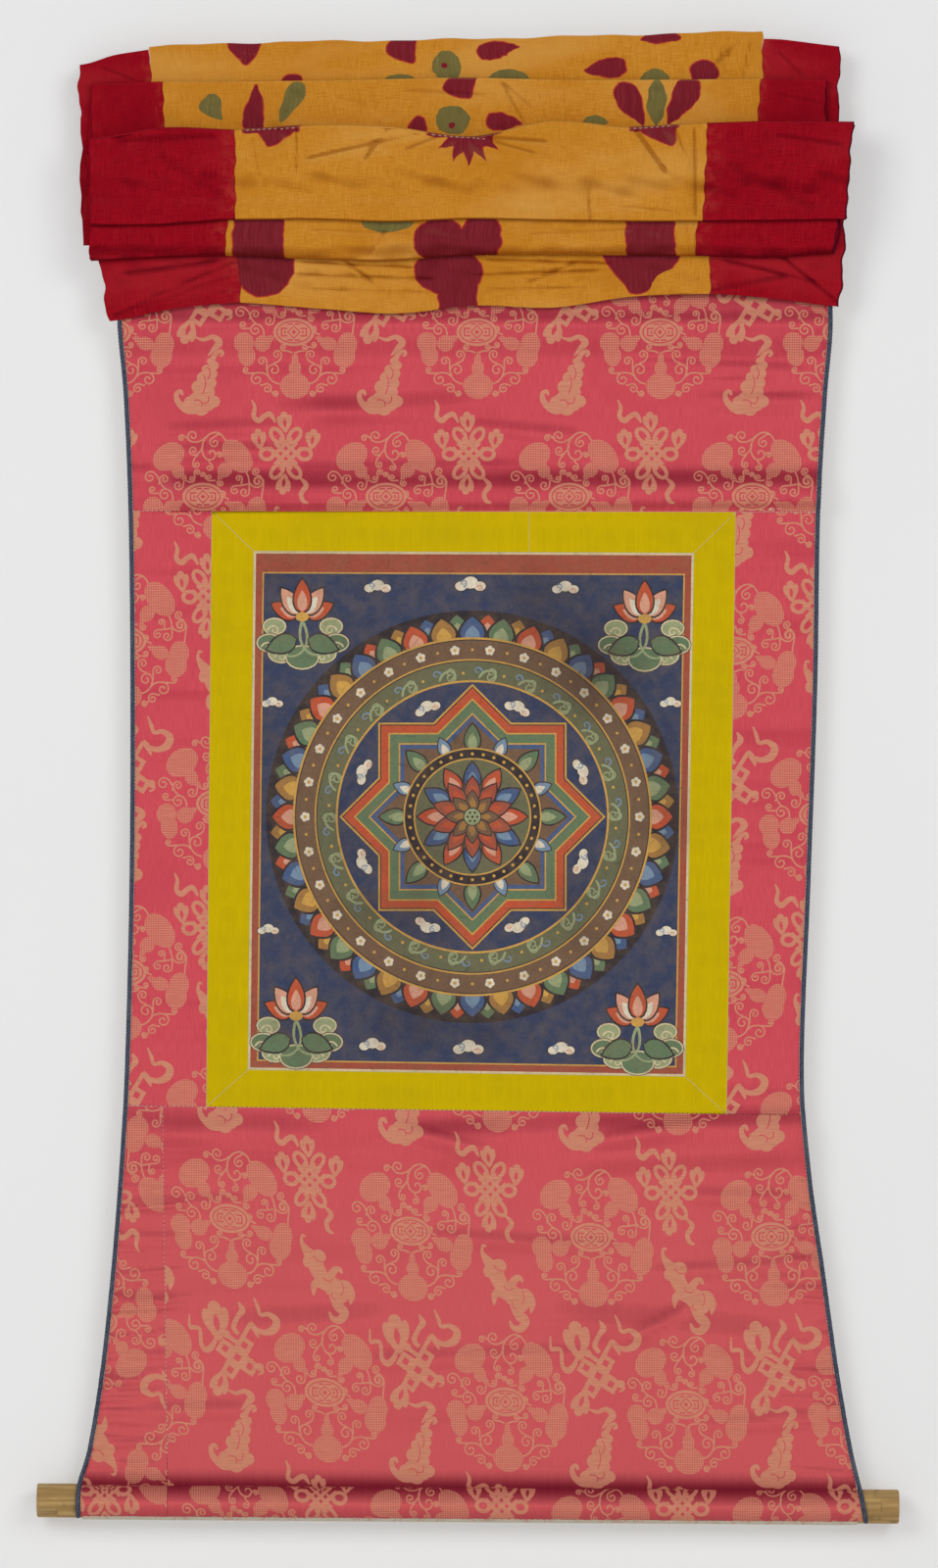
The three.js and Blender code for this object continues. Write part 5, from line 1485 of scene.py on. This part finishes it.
# %% Paint
def paint_finish():
    f = Finish("worn_paint", 0.72, Specular_IOR_Level=0.12)
    cut = f.chart()
    colour = f.mark("paint", "Color")
    warp, weft = f.weave(cut, 900, 60)
    brush = f.noise(cut, 60.0, 6.0, 0.65)
    grime = f.noise(cut, 7.0, 6.0, 0.6)
    colour = f.blend(f.between(brush, 0.3, 0.75, 0.0, 0.3), colour, dye(134, 112, 84))
    colour = f.blend(f.between(grime, 0.45, 0.75, 0.03, 0.42), colour, dye(56, 44, 38))
    parts = f.tree.nodes.new("ShaderNodeSeparateXYZ")
    f.join(cut, parts.inputs[0])
    from_stain = f.math("SQRT",
                        f.math("ADD", f.math("POWER", f.math("SUBTRACT", parts.outputs[0], 0.115), 2.0),
                               f.math("POWER", f.math("ADD", parts.outputs[1], 0.600), 2.0)))
    stain = f.between(f.math("ADD", from_stain, f.math("MULTIPLY", grime, 0.06)), 0.03, 0.11, 0.45, 0.0)
    colour = f.blend(stain, colour, dye(44, 34, 36))
    cracks = f.node("TexVoronoi", {"Vector": cut, "Scale": 130.0}, feature="DISTANCE_TO_EDGE")
    colour = f.blend(f.between(cracks, 0.0, 0.035, 0.3, 0.0), colour, dye(40, 34, 34))
    worn = f.between(f.noise(cut, 210.0, 5.0, 0.7), 0.66, 0.76)
    colour = f.blend(f.math("MULTIPLY", worn, 0.6), colour, dye(176, 160, 128))
    colour = f.blend(f.mark("reverse"), colour, dye(190, 178, 150))
    height = f.math("ADD", f.math("ADD", warp, weft), f.math("MULTIPLY", cracks, 3.0))
    return f.end(colour, None, height, 0.18, 0.0004)


print("paint finish ready")

# %% Lining, yarn and thread
def plain_finish(name, light, dark, spots, rough):
    f = Finish(name, rough, Specular_IOR_Level=0.15)
    cut = f.chart()
    warp, weft = f.weave(cut, 1100, 34)
    colour = f.blend(f.between(f.math("MULTIPLY", f.math("ADD", warp, weft), 0.5), 0.35, 0.65), dark, light)
    colour = f.blend(f.between(f.noise(cut, 12.0, 5.0), 0.5, 0.75, 0, 0.4), colour, spots)
    return f.end(colour, None, f.math("ADD", warp, weft), 0.25, 0.0005)


def yarn_finish():
    f = Finish("blue_yarn", 0.85, Specular_IOR_Level=0.15)
    space = f.space()
    fibre = f.noise(f.stretch(space, (900, 900, 300)), 1.0, 3.0)
    fade = f.noise(space, 22.0, 4.0)
    colour = f.blend(f.between(fibre, 0.3, 0.7), dye(44, 50, 68), dye(84, 91, 106))
    colour = f.blend(f.between(fade, 0.5, 0.75, 0, 0.5), colour, dye(104, 107, 112))
    return f.end(colour, None, fibre, 0.35, 0.0006)


def thread_finish(name, light, dark):
    f = Finish(name, 0.8, Specular_IOR_Level=0.1)
    fibre = f.noise(f.space(), 1600.0, 2.0)
    return f.end(f.blend(f.between(fibre, 0.3, 0.7), dark, light), None, fibre, 0.2, 0.0003)


print("plain finishes ready")

# %% [markdown]
# The veil is so thin that it lights up where it faces the sky and sinks where it faces down. Light through
# cloth is slow to render, so this is painted: a painted highlight where the slope faces up, and painted
# shade where it faces down and in the creases' hollows. The prints' dye has bled at the edges.

# %% Veil silk
def veil_finish(name, light, deep, faded, painted_light, shade, printed=False, seam_at=None, hem_at=None):
    f = Finish(name, 0.7, Specular_IOR_Level=0.02)
    cut = f.chart()
    warp, weft = f.weave(cut, 1500, 70)
    slub = f.noise(f.stretch(cut, (700, 30, 1)), 1.0, 4.0, 0.65)
    soft = f.noise(cut, 11.0, 5.0)
    colour = f.blend(f.between(f.math("MULTIPLY", f.math("ADD", warp, weft), 0.5), 0.36, 0.64), deep, light)
    colour = f.blend(f.between(slub, 0.5, 0.8, 0, 0.45), colour, faded)
    colour = f.blend(f.between(soft, 0.42, 0.72, 0, 0.55), colour, deep)
    colour = f.blend(f.between(f.noise(f.stretch(cut, (5, 14, 1)), 1.0, 3.0), 0.48, 0.7, 0, 0.4), colour,
                     faded)
    across = f.node("SeparateXYZ", {"Vector": cut})
    if seam_at is not None:
        near = f.between(f.math("ABSOLUTE", f.math("SUBTRACT", across, seam_at)), 0.016, 0.003)
        colour = f.blend(f.math("MULTIPLY", near,
                                f.between(f.noise(cut, 90.0, 5.0, 0.7), 0.4, 0.65, 0, 0.6)), colour,
                         dye(170, 52, 46))
    if printed:
        figure = f.mark("figure")
        grain = f.between(slub, 0.4, 0.75)
        maroon = f.blend(f.math("MULTIPLY", grain, 0.5), dye(116, 28, 40), dye(146, 54, 60))
        maroon = f.blend(f.between(f.noise(cut, 38.0, 5.0, 0.7), 0.62, 0.74, 0, 0.6), maroon,
                         dye(186, 92, 52))
        olive = f.blend(f.math("MULTIPLY", grain, 0.5), dye(110, 100, 54), dye(142, 128, 78))
        olive = f.blend(f.between(f.noise(cut, 60.0, 4.0), 0.5, 0.7, 0, 0.5), olive, dye(92, 86, 48))
        colour = f.blend(f.between(figure, 0.3, 0.7), colour, maroon)
        colour = f.blend(f.between(figure, 1.3, 1.7), colour, olive)
        colour = f.blend(f.between(figure, 2.3, 2.7), colour, dye(172, 58, 44))
    slope = f.mark("slope")
    # Painted highlight where the slope faces up, painted shade where it faces down and in the creases'
    # hollows.
    colour = f.blend(f.between(slope, 0.05, 0.5), colour, painted_light, "ADD")
    colour = f.blend(f.between(slope, -0.12, -0.5, 0.0, 0.85), colour, shade, "MULTIPLY")
    colour = f.blend(f.between(f.mark("hollow"), 0.2, 0.9, 0.0, 0.6), colour, shade, "MULTIPLY")
    if hem_at is not None:
        edge = f.between(f.math("ABSOLUTE", f.math("SUBTRACT", across, hem_at)), 0.0022, 0.0008, 0.0, 0.8)
        colour = f.blend(edge, colour, dye(52, 8, 26))
    height = f.math("ADD", f.math("ADD", warp, weft), f.math("MULTIPLY", slub, 0.8))
    return f.end(colour, None, height, 0.22, 0.0005)


print("veil finish ready")

# %% [markdown]
# The dowel is plain wood. Noise stretched along it makes the grain, and dark spots are dirt from hands.

# %% Bare wood
def wood_finish():
    f = Finish("bare_wood", 0.6, Specular_IOR_Level=0.3)
    space = f.space()
    grain = f.noise(f.stretch(space, (14, 260, 260)), 1.0, 5.0, 0.6)
    broad = f.noise(f.stretch(space, (4, 40, 40)), 1.0, 4.0)
    colour = f.blend(f.between(grain, 0.3, 0.7), dye(146, 112, 62), dye(188, 156, 98))
    colour = f.blend(f.between(broad, 0.4, 0.7, 0, 0.6), colour, dye(158, 126, 74))
    colour = f.blend(f.between(f.noise(space, 70.0, 5.0), 0.58, 0.75, 0, 0.6), colour, dye(86, 62, 34))
    return f.end(colour, f.between(grain, 0.3, 0.7, 0.7, 0.5), grain, 0.3, 0.0006)


print("wood finish ready")

# %% Give every piece its finish
painting.data.materials.append(paint_finish())
lining.data.materials.append(plain_finish("cream_lining", dye(214, 206, 188), dye(190, 180, 158),
                                          dye(176, 160, 130), 0.85))
yarn = yarn_finish()
for side in ("left", "right"):
    cloth["edge_cord_" + side].data.materials.append(yarn)
# light, deep and faded colour, the painted highlight a slope facing up adds, and the painted shade's tint
# facing down
OCHRES = (dye(206, 142, 48), dye(186, 116, 26), dye(216, 162, 84), (0.06, 0.05, 0.02, 1),
          (0.45, 0.28, 0.12, 1))
veil["centre"].data.materials.append(veil_finish("ochre_veil", *OCHRES, printed=True))
CRIMSONS = (dye(160, 13, 29), dye(130, 5, 23), dye(176, 40, 48), (0.03, 0.004, 0.006, 1),
            (0.3, 0.12, 0.3, 1))
veil["left"].data.materials.append(veil_finish("crimson_veil_left", *CRIMSONS, seam_at=veil["left_width"]))
veil["right"].data.materials.append(
    veil_finish("crimson_veil_right", *CRIMSONS, seam_at=0.0, hem_at=veil["right_width"]))
white_thread = thread_finish("white_thread", dye(216, 190, 176), dye(186, 140, 130))
raw_threads.data.materials.append(thread_finish("pink_thread", dye(226, 176, 160), dye(206, 130, 122)))
red_thread = thread_finish("red_thread", dye(128, 32, 48), dye(88, 12, 30))
for piece in stitches:
    piece.data.materials.append(white_thread)
for piece in seams:
    piece.data.materials.append(red_thread)
wood = wood_finish()
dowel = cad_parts["dowel"]
dowel.data.materials.clear()
dowel.data.materials.append(wood)
print("finishes:", len(bpy.data.materials))

# %% [markdown]
# ## The studio
# The scroll hangs close in front of a pale wall over a pale floor. Broad soft lights in front leave
# a faint shadow round it. The camera stands far off, level with the middle, with a long lens, so that the
# photograph's scale of 0.95 mm a pixel holds from head to foot.

# %% Wall and floor
WALL = 22.0  # how far behind the hanging surface, in millimetres
FLOOR, CEILING, ROOM_HALF, ROOM_DEEP = -1530, 2200, 3000, 4000  # the room, in millimetres


def pale_finish(name, colour):
    """A pale matt surface that is clear from behind, so that it never hides the scroll."""
    f = Finish(name, 0.9, Specular_IOR_Level=0.1, Emission_Color=(1, 1, 1, 1), Emission_Strength=0.25)
    cloud = f.noise(f.space(), 1.5, 2.0)
    lighter = tuple(c * 1.03 for c in colour[:3]) + (1.0,)
    material = f.end(f.blend(f.between(cloud, 0.3, 0.7), colour, lighter))
    behind = f.node("NewGeometry", {}, out="Backfacing")
    clear = f.node("BsdfTransparent", {})
    mixed = f.node("MixShader", {0: behind, 1: f.shader.outputs[0], 2: clear})
    f.join(mixed, f.tree.nodes["Material Output"].inputs["Surface"])
    return material


def stage_sheet(name, corners, material):
    piece = build_mesh(name, np.array(corners, float), np.array([(0, 1, 2, 3)]))
    piece.data.materials.append(material)


stage_sheet("studio_wall", [(-ROOM_HALF, WALL, FLOOR), (ROOM_HALF, WALL, FLOOR),
                            (ROOM_HALF, WALL, CEILING), (-ROOM_HALF, WALL, CEILING)],
            pale_finish("wall_white", dye(201, 201, 201)))
stage_sheet("studio_floor", [(-ROOM_HALF, -ROOM_DEEP, FLOOR), (ROOM_HALF, -ROOM_DEEP, FLOOR),
                             (ROOM_HALF, WALL, FLOOR), (-ROOM_HALF, WALL, FLOOR)],
            pale_finish("floor_white", dye(200, 200, 200)))
print("wall", WALL, "mm behind the mount")

# %% Lights
def soft_light(name, place, aim, size, power):
    light = bpy.data.lights.new(name, "AREA")
    light.shape, light.size, light.energy = "SQUARE", size, power
    lamp = bpy.data.objects.new(name, light)
    bpy.context.scene.collection.objects.link(lamp)
    lamp.location = place
    along = np.array(aim) - np.array(place)
    lamp.rotation_euler = (np.arctan2(np.hypot(along[0], along[1]), -along[2]), 0.0,
                           np.arctan2(-along[0], along[1]))


soft_light("light_above_left", (-2.6, -4.2, 1.1), (0, 0, -0.8), 2.4, 95)
soft_light("light_above_right", (2.6, -4.2, 1.1), (0, 0, -0.8), 2.4, 81)
soft_light("light_low", (0.0, -4.0, -1.2), (0, 0, -1.0), 2.2, 27)
world = bpy.data.worlds.new("soft_room")
bpy.context.scene.world = world
world.use_nodes = True
world.node_tree.nodes["Background"].inputs["Color"].default_value = (1, 1, 1, 1)
world.node_tree.nodes["Background"].inputs["Strength"].default_value = 0.14
print("lights:", len(bpy.data.lights))

# %% Camera
SCALE = 0.00095  # metres in the photograph's pixel
LOOK_AT = np.array([-0.0014, 0.0, -0.7178])
LENS = 200.0
DISTANCE = LENS * 1600 * SCALE / 36.0
camera = bpy.data.objects.new("camera", bpy.data.cameras.new("camera"))
bpy.context.scene.collection.objects.link(camera)
camera.data.lens = LENS
camera.data.sensor_width = 36.0
camera.data.clip_end = 60.0
camera.location = LOOK_AT + np.array([0, -DISTANCE, 0])
camera.rotation_euler = (np.pi / 2, 0.0, 0.0)
bpy.context.scene.camera = camera
bpy.context.scene.view_settings.view_transform = "Standard"
print("camera", round(DISTANCE, 2), "m away")
